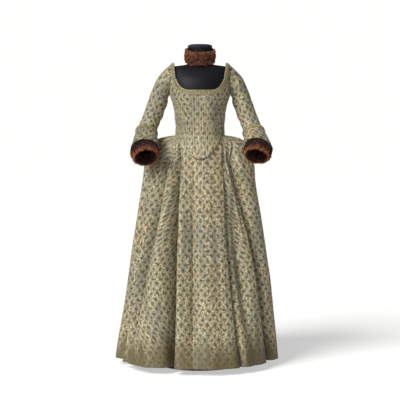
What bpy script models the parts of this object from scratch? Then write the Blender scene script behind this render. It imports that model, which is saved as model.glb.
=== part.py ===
"""Brocade gown with a fur collar and fur cuffs, resting on a limbless dress form.

Metres, +Z up. The gown faces -Y. "left" is the -X side and "right" the +X side,
as seen by someone who faces the gown. The origin is the middle of the form's
foot plate, on the floor.
"""

import math
from collections import namedtuple

import bmesh
import bpy
import numpy as np
from mathutils import Vector

# Driving dimensions
HEM_HEIGHT = 0.030
WAIST_HEIGHT = 1.034
NECK_BACK_HEIGHT = 1.318
SACK_TOP_HEIGHT = 1.295
NECK_FRONT_HEIGHT = 1.234
STRAP_SEAM_HEIGHT = 1.2855
POINT_HEIGHT = 0.932
FORM_BOTTOM_HEIGHT = 0.800
FORM_NECK_HEIGHT = 1.424
FORM_CAP_HEIGHT = 1.440

BODICE_WALL = 0.0020
SKIRT_WALL = 0.0015
SLEEVE_WALL = 0.0016
BRAID_WALL = 0.0018
SEAM_GAP = 0.0003
BRAID_CLEARANCE = 0.0008
FORM_SHRINK = 0.0008
BODICE_EASE = 0.0034
WAIST_EXTRA_EASE = 0.0015
WAIST_EASE_HEIGHT = 0.040
POINT_LAP = 0.0030
POINT_LAP_GROWTH = 0.24
POINT_LAP_MOST = 0.0075

# Neck opening and shoulder straps
NECK_CORNER_OUT = 0.1076
NECK_CORNER_ROOM = 0.0015
NECK_FRONT_POWER = 5.5
NECK_BACK_POWER = 4.0
STRAP_TOP_OUT = 0.1155
STRAP_TOP_HEIGHT = 1.3535
STRAP_CROWN = 0.0030
STRAP_CROWN_OUT_SHARE = 0.3
SHOULDER_MIDDLE_OUT = 0.125
BRAID_WIDTH = 0.020

# Armholes: an oval seen from the side, laid on the bodice
ARMHOLE_HEIGHT = 1.274
ARMHOLE_HALF_HEIGHT = 0.0625
ARMHOLE_HALF_DEPTH = 0.050
ARMHOLE_CLEARANCE = 0.0015
ARMHOLE_REACH_ROOM = 0.002
SIDE_SEAM_ANGLE = 100.0

# Front point of the bodice
POINT_HALF_WIDTH = 0.0950
POINT_POWER = 2.1
POINT_END_ANGLE = 62.0

# In front the skirt leaves the waist as a cone; at the sides it runs out over the hips
FRONT_CONE_SPREAD = 1.0
FRONT_CONE_END_ANGLE = 60.0
HIP_FULL_ANGLE = 84.0

# Fur bands
FUR_CUFF_RADIUS = 0.0500
FUR_CUFF_HALF_THICKNESS = 0.0145
FUR_CUFF_HALF_LENGTH = 0.0340
FUR_COLLAR_HALF_THICKNESS = 0.0075
FUR_COLLAR_HALF_HEIGHT = 0.0330
FUR_COLLAR_HEIGHT = 1.389
FUR_COLLAR_TILT = 14.0
FUR_COLLAR_HALF_WIDTH = 0.0630
FUR_COLLAR_HALF_DEPTH = 0.0675

# Form's stand
POLE_RADIUS = 0.0125
PLATE_RADIUS = 0.190
PLATE_HEIGHT = 0.008
PLATE_BEVEL = 0.002

# The cap's rings: their size against the neck and their place in its rise
CapRow = namedtuple("CapRow", "size rise")
CAP = (
    CapRow(1.005, 0.00),
    CapRow(1.005, 0.55),
    CapRow(0.930, 0.80),
    CapRow(0.700, 0.93),
    CapRow(0.350, 1.00),
)

# The form's level sections, from hips to neck
FigureRow = namedtuple("FigureRow", "height half_width front back squareness")
FIGURE = (
    FigureRow(FORM_BOTTOM_HEIGHT, 0.1500, 0.0900, 0.1100, 2.20),
    FigureRow(0.870, 0.1580, 0.0950, 0.1180, 2.20),
    FigureRow(0.950, 0.1400, 0.0930, 0.1050, 2.10),
    FigureRow(1.000, 0.1170, 0.0900, 0.0880, 2.00),
    FigureRow(1.034, 0.1066, 0.0941, 0.0811, 2.00),
    FigureRow(1.050, 0.1060, 0.0940, 0.0806, 2.00),
    FigureRow(1.090, 0.1080, 0.0990, 0.0800, 2.05),
    FigureRow(1.130, 0.1110, 0.1060, 0.0830, 2.10),
    FigureRow(1.160, 0.1167, 0.1130, 0.0870, 2.15),
    FigureRow(1.185, 0.1230, 0.1180, 0.0910, 2.20),
    FigureRow(1.209, 0.1315, 0.1200, 0.0950, 2.25),
    FigureRow(1.235, 0.1365, 0.1180, 0.0970, 2.25),
    FigureRow(1.260, 0.1395, 0.1130, 0.0970, 2.20),
    FigureRow(1.286, 0.1430, 0.1020, 0.0940, 2.15),
    FigureRow(1.305, 0.1470, 0.0880, 0.0880, 2.05),
    FigureRow(1.322, 0.1490, 0.0720, 0.0770, 2.00),
    FigureRow(1.335, 0.1450, 0.0560, 0.0630, 2.00),
    FigureRow(1.341, 0.1190, 0.0490, 0.0540, 2.00),
    FigureRow(1.3455, 0.0850, 0.0460, 0.0510, 2.00),
    FigureRow(1.349, 0.0640, 0.0450, 0.0500, 2.00),
    FigureRow(1.353, 0.0560, 0.0460, 0.0500, 2.00),
    FigureRow(1.362, 0.0545, 0.0490, 0.0525, 2.00),
    FigureRow(1.378, 0.0545, 0.0535, 0.0545, 2.00),
    FigureRow(FORM_NECK_HEIGHT, 0.0545, 0.0545, 0.0545, 2.00),
)

# The skirt's level sections, from hem to waist, before its folds are laid in
SkirtRow = namedtuple("SkirtRow", "height left right front back middle squareness")
SKIRT = (
    SkirtRow(0.030, 0.3740, 0.3470, 0.3620, 0.4050, 0.050, 2.40),
    SkirtRow(0.108, 0.3640, 0.3410, 0.3350, 0.3960, 0.048, 2.40),
    SkirtRow(0.252, 0.3400, 0.3270, 0.2950, 0.3780, 0.042, 2.40),
    SkirtRow(0.396, 0.3200, 0.3130, 0.2620, 0.3550, 0.035, 2.40),
    SkirtRow(0.468, 0.3110, 0.3020, 0.2480, 0.3420, 0.030, 2.40),
    SkirtRow(0.576, 0.2970, 0.2880, 0.2250, 0.3220, 0.025, 2.35),
    SkirtRow(0.684, 0.2810, 0.2740, 0.2020, 0.2980, 0.020, 2.30),
    SkirtRow(0.756, 0.2710, 0.2620, 0.1850, 0.2800, 0.015, 2.30),
    SkirtRow(0.830, 0.2600, 0.2500, 0.1650, 0.2580, 0.010, 2.25),
    SkirtRow(0.900, 0.2510, 0.2420, 0.1420, 0.2320, 0.005, 2.20),
    SkirtRow(0.950, 0.2400, 0.2330, 0.1240, 0.2050, 0.002, 2.15),
    SkirtRow(0.990, 0.2190, 0.2130, 0.1090, 0.1750, 0.000, 2.10),
    SkirtRow(1.018, 0.1850, 0.1820, 0.1005, 0.1400, 0.000, 2.05),
    SkirtRow(1.028, 0.1480, 0.1480, 0.0975, 0.1100, 0.000, 2.00),
    SkirtRow(1.034, 0.1085, 0.1085, 0.0960, 0.0830, 0.000, 2.00),
)

# Folds of the skirt: where each lies, in degrees from the middle of the front, at four
# heights, and how far it moves the cloth, in at a valley and out at a ridge
FOLD_HEIGHTS = (0.030, 0.500, 0.900, 1.020)
Fold = namedtuple("Fold", "waist hip knee hem move_hip move_knee move_hem half_width")
FRONT_SEAM_LEFT = Fold(-48.0, -34.0, -23.2, -16.4, -0.004, -0.014, -0.026, 0.016)
FRONT_SEAM_RIGHT = Fold(51.0, 37.0, 27.0, 28.8, -0.003, -0.008, -0.014, 0.016)
FOLDS = (
    FRONT_SEAM_LEFT,
    Fold(-16.0, -11.0, -8.0, -5.0, 0.000, -0.004, -0.006, 0.022),
    Fold(-58.0, -44.0, -36.0, -31.0, 0.003, 0.008, 0.010, 0.035),
    Fold(-70.0, -55.0, -48.6, -45.0, -0.004, -0.016, -0.024, 0.032),
    Fold(-77.0, -63.0, -58.0, -55.0, 0.000, 0.006, 0.010, 0.025),
    Fold(-85.0, -72.0, -68.0, -65.0, -0.003, -0.014, -0.030, 0.020),
    Fold(-90.0, -84.0, -80.0, -76.0, 0.000, 0.006, 0.012, 0.030),
    Fold(-102.0, -100.0, -96.0, -94.0, -0.003, -0.012, -0.020, 0.024),
    Fold(-122.0, -120.0, -116.0, -112.0, -0.004, -0.014, -0.022, 0.028),
    FRONT_SEAM_RIGHT,
    Fold(8.0, 7.0, 5.0, 9.0, 0.000, 0.003, 0.006, 0.030),
    Fold(58.0, 44.0, 38.0, 36.0, -0.008, -0.004, 0.004, 0.040),
    Fold(64.0, 52.0, 50.0, 49.0, -0.004, -0.007, -0.008, 0.018),
    Fold(70.0, 57.0, 57.7, 59.5, -0.006, -0.018, -0.028, 0.017),
    Fold(78.0, 70.0, 72.0, 72.0, 0.002, 0.008, 0.012, 0.030),
    Fold(93.0, 92.0, 90.0, 90.0, -0.003, -0.013, -0.022, 0.024),
    Fold(117.0, 116.0, 112.0, 109.0, -0.004, -0.012, -0.024, 0.028),
)
FOLD_FADE_ANGLE = 9.0

# Gathers over the hips
GATHER_FIRST_ANGLE = 52.0
GATHER_SPACING = 10.0
GATHER_LAST_ANGLE = 122.0
GATHER_MOVE = 0.0030
GATHER_TOP = 1.024
GATHER_FULL = 0.985
GATHER_END = 0.780

# The pleated back: its half width, how far back its middle falls, and its pleats' depth
SackRow = namedtuple("SackRow", "height half_width fall pleat")
SACK = (
    SackRow(0.030, 0.280, 0.455, 0.0280),
    SackRow(0.250, 0.232, 0.420, 0.0240),
    SackRow(0.500, 0.188, 0.366, 0.0190),
    SackRow(0.750, 0.150, 0.297, 0.0150),
    SackRow(0.900, 0.122, 0.237, 0.0130),
    SackRow(0.950, 0.110, 0.216, 0.0125),
    SackRow(1.034, 0.090, 0.180, 0.0115),
    SackRow(1.150, 0.080, 0.140, 0.0100),
    SackRow(1.250, 0.076, 0.113, 0.0085),
    SackRow(1.318, 0.074, 0.096, 0.0075),
)
SACK_EDGE_CLEARANCE = 0.0060
SACK_WAIST_LAP = 0.0110
SACK_LAP_START = 1.006
SACK_PLEAT_TIGHTNESS = 2.2
SACK_ROUNDING = 2.4

# Slanting front seams of the bodice: degrees from the middle of the front
SeamRow = namedtuple("SeamRow", "height angle")
FRONT_SEAM = (
    SeamRow(0.930, 14.0),
    SeamRow(0.950, 18.0),
    SeamRow(0.989, 22.5),
    SeamRow(1.034, 31.0),
    SeamRow(1.068, 35.0),
    SeamRow(1.110, 45.0),
    SeamRow(1.148, 59.0),
    SeamRow(1.190, 70.0),
    SeamRow(1.225, 76.0),
    SeamRow(1.300, 78.0),
)

# Sleeve sections from the shoulder down: lean lifts a section's outer side, pitch tips it forward
ArmSection = namedtuple("ArmSection", "out depth height lean pitch half_width half_depth")
SLEEVE = (
    ArmSection(0.1655, 0.000, 1.2480, 59.7, 0.0, 0.0486, 0.0500),
    ArmSection(0.1770, 0.000, 1.2220, 36.7, 0.0, 0.0418, 0.0470),
    ArmSection(0.1880, -0.004, 1.1850, 17.6, 5.0, 0.0430, 0.0460),
    ArmSection(0.1975, -0.009, 1.1580, 17.2, 9.0, 0.0428, 0.0455),
    ArmSection(0.2065, -0.015, 1.1320, 17.0, 14.0, 0.0425, 0.0450),
    ArmSection(0.2245, -0.032, 1.0865, 14.0, 26.0, 0.0418, 0.0430),
    ArmSection(0.2375, -0.058, 1.0500, 12.0, 36.0, 0.0415, 0.0420),
    ArmSection(0.2425, -0.085, 1.0200, 6.0, 40.0, 0.0400, 0.0400),
)
CUFF_TOP = ArmSection(0.2365, -0.055, 1.0550, 12.0, 34.0, 0.0447, 0.0451)
CUFF_FLARE = 0.0182
CUFF_SEAT = 0.0215
CUFF_BRAID_SHARE = 0.16

# Where each fur cuff's middle lies
FUR_CUFFS = {
    "left": ArmSection(0.2414, -0.150, 0.961, -11.0, 45.0, FUR_CUFF_RADIUS, FUR_CUFF_RADIUS),
    "right": ArmSection(0.2538, -0.145, 0.9680, -15.0, 40.0, FUR_CUFF_RADIUS, FUR_CUFF_RADIUS),
}
SIDES = {"left": -1.0, "right": 1.0}

# How finely each surface is divided
SKIRT_LEVELS = (0.030, 0.130, 0.250, 0.380, 0.510, 0.640, 0.760, 0.860, 0.930, 0.975, 1.006, 1.024, 1.034)
SACK_EXTRA_LEVELS = (1.045, 1.080, 1.140, 1.200, 1.260, SACK_TOP_HEIGHT)
COLUMNS_BETWEEN_FOLDS = 5
SACK_COLUMNS = 24
BODICE_ROWS = 14
BODICE_COLUMNS = 8
BACK_COLUMNS = 14
FRONT_CORNER_SHARE = 0.686
FRONT_ARMHOLE_SHARE = 0.876
FRONT_OVAL_SHARE = 0.905
BACK_ARMHOLE_SHARE = 0.068
BACK_CORNER_SHARE = 0.159
ARM_COLUMNS = 18
TORSO_COLUMNS = 28
STRAP_ROWS = 12
STRAP_COLUMNS = 4
STRAP_BRAID_COLUMNS = 2
BRAID_ROWS = 2
BRAID_FRONT_COLUMNS = 28
BRAID_BACK_COLUMNS = 20
CUFF_ROWS = 4
FUR_STEPS = 10
POLE_COLUMNS = 16
PLATE_COLUMNS = 32
FOLD_EDGE_ROOM = 0.020
SHARP_ANGLE = 50.0
EDGE_SEARCH_STEPS = 16
EDGE_SEARCH_PULL = 0.6
SLOPE_STEP = 0.0005
ANGLE_STEP = 0.010
HEIGHT_STEP = 0.002

Finish = namedtuple("Finish", "colour roughness metallic")
BROCADE = Finish("857a5c", 0.55, 0.0)
BROCADE_BODICE = Finish("8b8163", 0.52, 0.0)
GOLD_BRAID = Finish("8f7a48", 0.50, 0.2)
BROWN_FUR = Finish("5a2a17", 0.85, 0.0)
BLACK_FORM = Finish("17181c", 0.60, 0.0)
BLACK_METAL = Finish("1c1c1e", 0.40, 0.9)


class Curve:
    """A smooth line through points that never swings past them."""

    def __init__(self, heights, values):
        self.heights = np.array(heights, dtype=float)
        self.values = np.array(values, dtype=float)
        steps = np.diff(self.heights)
        slopes = np.diff(self.values) / steps
        tangents = np.zeros(len(self.values))
        tangents[0] = slopes[0]
        tangents[-1] = slopes[-1]
        for index in range(1, len(slopes)):
            before = slopes[index - 1]
            after = slopes[index]
            if before * after > 0:
                tangents[index] = 2.0 * before * after / (before + after)
        self.tangents = tangents

    def __call__(self, height):
        """Return the value at a height, held level past either end."""
        place = min(max(height, self.heights[0]), self.heights[-1])
        index = int(np.searchsorted(self.heights, place, side="right")) - 1
        index = min(index, len(self.heights) - 2)
        step = self.heights[index + 1] - self.heights[index]
        share = (place - self.heights[index]) / step
        start = self.values[index]
        end = self.values[index + 1]
        pull_start = self.tangents[index] * step
        pull_end = self.tangents[index + 1] * step
        cubed = share ** 3
        squared = share ** 2
        value = (2 * cubed - 3 * squared + 1) * start + (cubed - 2 * squared + share) * pull_start
        return value + (3 * squared - 2 * cubed) * end + (cubed - squared) * pull_end


def table_curves(rows):
    """Return one curve over height for each of a table's other columns."""
    heights = [row.height for row in rows]
    names = [name for name in rows[0]._fields if name != "height"]
    return {name: Curve(heights, [getattr(row, name) for row in rows]) for name in names}


FIGURE_CURVES = table_curves(FIGURE)
SKIRT_CURVES = table_curves(SKIRT)
SACK_CURVES = table_curves(SACK)
SEAM_CURVES = table_curves(FRONT_SEAM)


def smooth_step(start, end, value):
    """Rise smoothly from 0 at start to 1 at end."""
    share = min(max((value - start) / (end - start), 0.0), 1.0)
    return share * share * (3.0 - 2.0 * share)


def blend(first, second, share):
    """Return the value a share of the way from first to second."""
    return first + (second - first) * share


def section_radius(angle, half_width, front, back, squareness):
    """Return the distance from a section's middle to its edge, at an angle from the front."""
    along_depth = front if math.cos(angle) > 0 else back
    across_share = abs(math.sin(angle)) / half_width
    along_share = abs(math.cos(angle)) / along_depth
    return (across_share ** squareness + along_share ** squareness) ** (-1.0 / squareness)


def section_depth(out, half_width, depth, squareness):
    """Return how far a section reaches forwards or back at a distance from the middle."""
    share = min(abs(out) / half_width, 1.0)
    return depth * (1.0 - share ** squareness) ** (1.0 / squareness)


def polar_point(angle, radius, middle, height):
    """Return the point at an angle and a radius from the middle, front at angle 0."""
    return (radius * math.sin(angle), middle - radius * math.cos(angle), height)


def bodice_sizes(height):
    """Return the bodice's outer half width, front, back and squareness at a height."""
    waist_share = 1.0 - smooth_step(WAIST_HEIGHT, WAIST_HEIGHT + WAIST_EASE_HEIGHT, height)
    ease = BODICE_EASE + WAIST_EXTRA_EASE * waist_share
    half_width = FIGURE_CURVES["half_width"](height) + ease
    front = FIGURE_CURVES["front"](height) + ease
    back = FIGURE_CURVES["back"](height) + ease
    return half_width, front, back, FIGURE_CURVES["squareness"](height)


def bodice_point(angle, height):
    """Return a point of the bodice's outer side; in front it runs on below the waist, over the skirt."""
    if height < WAIST_HEIGHT and math.cos(angle) > math.cos(math.radians(POINT_END_ANGLE)):
        lap = min(POINT_LAP + POINT_LAP_GROWTH * (WAIST_HEIGHT - height), POINT_LAP_MOST)
        radius = skirt_base_radius(angle, height) + lap
        return polar_point(angle, radius, SKIRT_CURVES["middle"](height), height)
    radius = section_radius(angle, *bodice_sizes(max(height, WAIST_HEIGHT)))
    return polar_point(angle, radius, 0.0, height)


def bodice_front_surface(out, height):
    """Return the bodice's outer point in front at a distance from the middle and a height."""
    half_width, front, _, squareness = bodice_sizes(height)
    return (out, -section_depth(out, half_width, front, squareness), height)


def bodice_back_surface(out, height):
    """Return the bodice's outer point behind at a distance from the middle and a height."""
    half_width, _, back, squareness = bodice_sizes(height)
    return (out, section_depth(out, half_width, back, squareness), height)


def bodice_side_out(depth, height):
    """Return how far out the bodice's side lies, at a depth and a height."""
    half_width, front, back, squareness = bodice_sizes(height)
    reach = front if depth < 0 else back
    return section_depth(depth, reach, half_width, squareness)


def skirt_base_radius(angle, height):
    """Return the skirt's radius before its folds."""
    side = "left" if math.sin(angle) < 0 else "right"
    columns = (side, "front", "back", "squareness")
    full, front, back, squareness = [SKIRT_CURVES[name](height) for name in columns]
    cone = SKIRT_CURVES[side](WAIST_HEIGHT) + FRONT_CONE_SPREAD * (WAIST_HEIGHT - height)
    from_front = math.degrees(math.acos(math.cos(angle)))
    hip_share = smooth_step(FRONT_CONE_END_ANGLE, HIP_FULL_ANGLE, from_front)
    half_width = blend(min(full, cone), full, hip_share)
    return section_radius(angle, half_width, front, back, squareness)


def sack_edge_point(side, height):
    """Return where the skirt meets the pleated back's edge, below the waist."""
    out = SACK_CURVES["half_width"](height)
    return (side * out, skirt_back_depth(side * out, height), height)


def skirt_back_depth(out, height):
    """Return how far back the skirt's base form reaches at a distance from the middle."""
    side = "left" if out < 0 else "right"
    half_width = SKIRT_CURVES[side](height)
    depth = section_depth(out, half_width, SKIRT_CURVES["back"](height), SKIRT_CURVES["squareness"](height))
    return SKIRT_CURVES["middle"](height) + depth


def sack_edge_angle(side, height):
    """Return the angle from the front, without its sign, of the pleated back's edge."""
    edge = sack_edge_point(side, height)
    return math.pi - math.atan2(abs(edge[0]), edge[1] - SKIRT_CURVES["middle"](height))


def fold_angle(fold, height):
    """Return where a fold lies at a height, in radians."""
    return math.radians(Curve(FOLD_HEIGHTS, (fold.hem, fold.knee, fold.hip, fold.waist))(height))


def fold_move(fold, height):
    """Return how far a fold moves the cloth at a height."""
    return Curve(FOLD_HEIGHTS, (fold.move_hem, fold.move_knee, fold.move_hip, 0.0))(height)


def gather_move(angle, height):
    """Return the small gathers over the hips at an angle and a height."""
    degrees = math.degrees(abs(angle))
    half = GATHER_SPACING / 2.0
    if not GATHER_FIRST_ANGLE - half < degrees < GATHER_LAST_ANGLE + half:
        return 0.0
    wave = math.cos(2.0 * math.pi * (degrees - GATHER_FIRST_ANGLE) / GATHER_SPACING)
    strength = smooth_step(GATHER_TOP, GATHER_FULL, height) * smooth_step(GATHER_END, GATHER_FULL, height)
    ends = smooth_step(GATHER_FIRST_ANGLE - half, GATHER_FIRST_ANGLE + half, degrees)
    ends *= smooth_step(GATHER_LAST_ANGLE + half, GATHER_LAST_ANGLE - half, degrees)
    return GATHER_MOVE * wave * strength * ends


def skirt_point(angle, height):
    """Return a point of the skirt's outer side, with its folds and gathers."""
    radius = skirt_base_radius(angle, height)
    move = gather_move(angle, height)
    for fold in FOLDS:
        distance = (angle - fold_angle(fold, height)) * radius
        move += fold_move(fold, height) * math.exp(-((distance / fold.half_width) ** 2))
    side = -1.0 if angle < 0 else 1.0
    room = sack_edge_angle(side, height) - abs(angle)
    move *= smooth_step(0.0, math.radians(FOLD_FADE_ANGLE), room)
    return polar_point(angle, radius + move, SKIRT_CURVES["middle"](height), height)


def sack_point(share, height):
    """Return a point of the pleated back; share runs from -1 at its left edge to 1."""
    out = share * SACK_CURVES["half_width"](height)
    if height <= WAIST_HEIGHT:
        lap = SACK_WAIST_LAP * smooth_step(SACK_LAP_START, WAIST_HEIGHT, height)
        under = skirt_back_depth(out, height) + lap
        under_middle = skirt_back_depth(0.0, height) + lap
    else:
        under = bodice_back_surface(out, height)[1] + SACK_EDGE_CLEARANCE
        under_middle = bodice_back_surface(0.0, height)[1] + SACK_EDGE_CLEARANCE
    stand_off = max(SACK_CURVES["fall"](height) - under_middle, 0.0)
    fall = under + stand_off * (1.0 - abs(share) ** SACK_ROUNDING)
    wave = math.tanh(-SACK_PLEAT_TIGHTNESS * math.cos(2.0 * math.pi * share))
    pleat = SACK_CURVES["pleat"](height) * (wave + math.tanh(SACK_PLEAT_TIGHTNESS)) / 2.0
    return (out, fall + pleat, height)


def neck_front_edge(out):
    """Return the height of the front neck edge at a distance from the middle."""
    share = min(abs(out) / (NECK_CORNER_OUT - NECK_CORNER_ROOM), 1.0)
    return blend(NECK_FRONT_HEIGHT, STRAP_SEAM_HEIGHT, share ** NECK_FRONT_POWER)


def neck_back_edge(out):
    """Return the height of the back neck edge at a distance from the middle."""
    share = min(abs(out) / (NECK_CORNER_OUT - 4.0 * NECK_CORNER_ROOM), 1.0)
    return blend(NECK_BACK_HEIGHT, STRAP_SEAM_HEIGHT, share ** NECK_BACK_POWER)


def armhole_lower_edge(depth):
    """Return the height of the armhole's lower half at a depth."""
    share = min(abs(depth) / ARMHOLE_HALF_DEPTH, 1.0)
    return ARMHOLE_HEIGHT - ARMHOLE_HALF_HEIGHT * math.sqrt(1.0 - share ** 2) - 2.0 * SEAM_GAP


def bodice_top_edge(point):
    """Return the height of the bodice's upper edge above or below a point."""
    out, depth, _ = point
    if abs(depth) < ARMHOLE_HALF_DEPTH + ARMHOLE_REACH_ROOM and abs(out) > NECK_CORNER_OUT:
        return armhole_lower_edge(depth)
    return neck_front_edge(out) if depth < 0 else neck_back_edge(out)


def bodice_bottom_edge(point):
    """Return the height of the bodice's lower edge, a point in front and level behind."""
    out, depth, _ = point
    level = WAIST_HEIGHT + 2.0 * SEAM_GAP
    if depth > 0:
        return level
    rise = (level - POINT_HEIGHT) * (abs(out) / POINT_HALF_WIDTH) ** POINT_POWER
    return min(POINT_HEIGHT + rise, level)


def find_edge(edge, angle_at, start):
    """Return the height where a bodice column, given by its angle at a height, meets an edge."""
    height = start
    for _ in range(EDGE_SEARCH_STEPS):
        height = blend(height, edge(bodice_point(angle_at(height), height)), EDGE_SEARCH_PULL)
    return height


def bodice_grid(first_angle, last_angle, shares):
    """Return the outer points and normals of a bodice panel between two seams.

    Each seam is an angle over height, and shares says where the columns lie between them.
    """
    columns = []
    for share in shares:
        def angle_at(height, share=share):
            return blend(first_angle(height), last_angle(height), share)

        low = find_edge(bodice_bottom_edge, angle_at, WAIST_HEIGHT)
        high = find_edge(bodice_top_edge, angle_at, NECK_FRONT_HEIGHT)
        heights = [blend(low, high, row / BODICE_ROWS) for row in range(BODICE_ROWS + 1)]
        columns.append([(angle_at(height), height) for height in heights])
    return surface_grid(bodice_point, list(zip(*columns)))


def spread(knots, counts):
    """Return places that run through the knots, with a count of steps between each two."""
    places = [knots[0]]
    for start, end, count in zip(knots, knots[1:], counts):
        places.extend(blend(start, end, (step + 1) / count) for step in range(count))
    return places


def strap_point(side, along, across):
    """Return a point of a shoulder strap: along runs front to back, across from neck to arm."""
    turn = math.pi * along
    lift = math.sin(turn)
    facing = -math.cos(turn)
    inner_out = blend(NECK_CORNER_OUT, STRAP_TOP_OUT, lift)
    surface = bodice_front_surface if facing < 0 else bodice_back_surface
    inner_depth = abs(surface(NECK_CORNER_OUT, STRAP_SEAM_HEIGHT)[1]) * facing
    inner_height = blend(STRAP_SEAM_HEIGHT, STRAP_TOP_HEIGHT, lift)
    outer_height = blend(STRAP_SEAM_HEIGHT, ARMHOLE_HEIGHT + ARMHOLE_HALF_HEIGHT, lift)
    share = (outer_height - ARMHOLE_HEIGHT) / ARMHOLE_HALF_HEIGHT
    outer_depth = math.copysign(ARMHOLE_HALF_DEPTH * math.sqrt(max(1.0 - share ** 2, 0.0)), facing)
    outer_out = bodice_side_out(outer_depth, outer_height)
    crown = STRAP_CROWN * 4.0 * across * (1.0 - across)
    out = blend(inner_out, outer_out, across) + STRAP_CROWN_OUT_SHARE * crown
    depth = blend(inner_depth, outer_depth, across) + facing * crown
    height = blend(inner_height, outer_height, across) + lift * crown + SEAM_GAP
    return (side * out, depth, height)


def surface_grid(point_at, places):
    """Return the points and unit normals of a surface at rows of (angle, height) places."""
    points = []
    normals = []
    for row in places:
        point_row = []
        normal_row = []
        for angle, height in row:
            around = np.subtract(point_at(angle + ANGLE_STEP, height), point_at(angle - ANGLE_STEP, height))
            upward = np.subtract(point_at(angle, height + HEIGHT_STEP), point_at(angle, height - HEIGHT_STEP))
            normal = np.cross(around, upward)
            point_row.append(point_at(angle, height))
            normal_row.append(normal / np.linalg.norm(normal))
        points.append(point_row)
        normals.append(normal_row)
    return np.array(points), np.array(normals)


def wall_normals(grid, closed_around, inside):
    """Return unit normals of a grid of points, facing away from the inside points."""
    if closed_around:
        wrapped = np.concatenate([grid[:, -1:], grid, grid[:, :1]], axis=1)
        across = np.gradient(wrapped, axis=1)[:, 1:-1]
    else:
        across = np.gradient(grid, axis=1, edge_order=2)
    normals = np.cross(across, np.gradient(grid, axis=0, edge_order=2))
    normals /= np.linalg.norm(normals, axis=2, keepdims=True)
    facing = np.sum(normals * (grid - inside))
    return normals if facing > 0 else -normals


def axis_inside(grid):
    """Return, for each point of a grid, the point of the upright middle line at its height."""
    inside = np.zeros_like(grid)
    inside[:, :, 2] = grid[:, :, 2]
    return inside


def ring_inside(grid):
    """Return, for each point of a tube's grid, the middle of its ring."""
    return np.broadcast_to(grid.mean(axis=1, keepdims=True), grid.shape)


def finish_object(name, mesh, material):
    """Turn a bmesh into a named object with smooth faces and sharp edges kept."""
    bmesh.ops.recalc_face_normals(mesh, faces=mesh.faces)
    data = bpy.data.meshes.new(name)
    mesh.to_mesh(data)
    mesh.free()
    data.materials.append(material)
    data.shade_smooth()
    data.set_sharp_from_angle(angle=math.radians(SHARP_ANGLE))
    result = bpy.data.objects.new(name, data)
    bpy.context.collection.objects.link(result)
    return result


def add_points(mesh, grid):
    """Add a grid of points to a bmesh and return its vertices in the same rows."""
    return [[mesh.verts.new(tuple(float(value) for value in point)) for point in row] for row in grid]


def add_strip(mesh, first, second, closed):
    """Join two rows of vertices with faces."""
    spans = len(first) if closed else len(first) - 1
    for index in range(spans):
        following = (index + 1) % len(first)
        mesh.faces.new((first[index], first[following], second[following], second[index]))


def build_wall(name, grid, thickness, material, closed_around=False, inside=None, lift=0.0, normals=None):
    """Build a cloth wall from its outer points; lift moves the whole wall out first."""
    inside = axis_inside(grid) if inside is None else inside
    if normals is None:
        normals = wall_normals(grid, closed_around, inside)
    if np.sum(normals * (grid - inside)) < 0:
        normals = -normals
    mesh = bmesh.new()
    outer = add_points(mesh, grid + lift * normals)
    inner = add_points(mesh, grid + (lift - thickness) * normals)
    for row in range(len(outer) - 1):
        add_strip(mesh, outer[row], outer[row + 1], closed_around)
        add_strip(mesh, inner[row], inner[row + 1], closed_around)
    for end in (0, -1):
        add_strip(mesh, outer[end], inner[end], closed_around)
    if not closed_around:
        for end in (0, -1):
            outer_side = [row[end] for row in outer]
            inner_side = [row[end] for row in inner]
            add_strip(mesh, outer_side, inner_side, False)
    return finish_object(name, mesh, material)


def build_solid(name, rings, material, closed_along=False):
    """Build a solid through rings of points; closed_along joins the last ring to the first."""
    mesh = bmesh.new()
    lines = add_points(mesh, rings)
    for index in range(len(lines) - 1):
        add_strip(mesh, lines[index], lines[index + 1], True)
    if closed_along:
        add_strip(mesh, lines[-1], lines[0], True)
    else:
        mesh.faces.new(lines[0])
        mesh.faces.new(lines[-1])
    return finish_object(name, mesh, material)


def linear_colour(hex_text):
    """Turn a hex colour into linear RGBA."""
    channels = [int(hex_text[start:start + 2], 16) / 255.0 for start in (0, 2, 4)]
    linear = [c / 12.92 if c <= 0.04045 else ((c + 0.055) / 1.055) ** 2.4 for c in channels]
    return (*linear, 1.0)


def make_material(name, finish):
    """Make a plain material from a finish."""
    material = bpy.data.materials.new(name)
    material.use_nodes = True
    shader = material.node_tree.nodes["Principled BSDF"]
    shader.inputs["Base Color"].default_value = linear_colour(finish.colour)
    shader.inputs["Roughness"].default_value = finish.roughness
    shader.inputs["Metallic"].default_value = finish.metallic
    return material


def seam_angle(side, offset_side):
    """Return the slanting front seam's angle over height, half a gap to one side of it."""
    def angle(height):
        gap = offset_side * SEAM_GAP / (2.0 * bodice_sizes(max(height, WAIST_HEIGHT))[1])
        return side * (math.radians(SEAM_CURVES["angle"](height)) + gap)
    return angle


def level_angle(side, degrees, offset_side):
    """Return an upright seam's angle over height, half a gap to one side of it."""
    def angle(height):
        gap = offset_side * SEAM_GAP / (2.0 * bodice_sizes(max(height, WAIST_HEIGHT))[1])
        return side * (math.radians(degrees) + gap)
    return angle


def build_bodice_fronts():
    """Build the two centre fronts, which meet edge to edge down the middle."""
    for name, side in SIDES.items():
        shares = spread((0.0, FRONT_CORNER_SHARE, FRONT_ARMHOLE_SHARE, FRONT_OVAL_SHARE, 1.0), (6, 2, 1, 1))
        grid, normals = bodice_grid(level_angle(side, 0.0, 1.0), seam_angle(side, -1.0), shares)
        build_wall(f"bodice_front_{name}", grid, BODICE_WALL, make_material(f"front_{name}", BROCADE_BODICE),
                   normals=normals)


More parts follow.
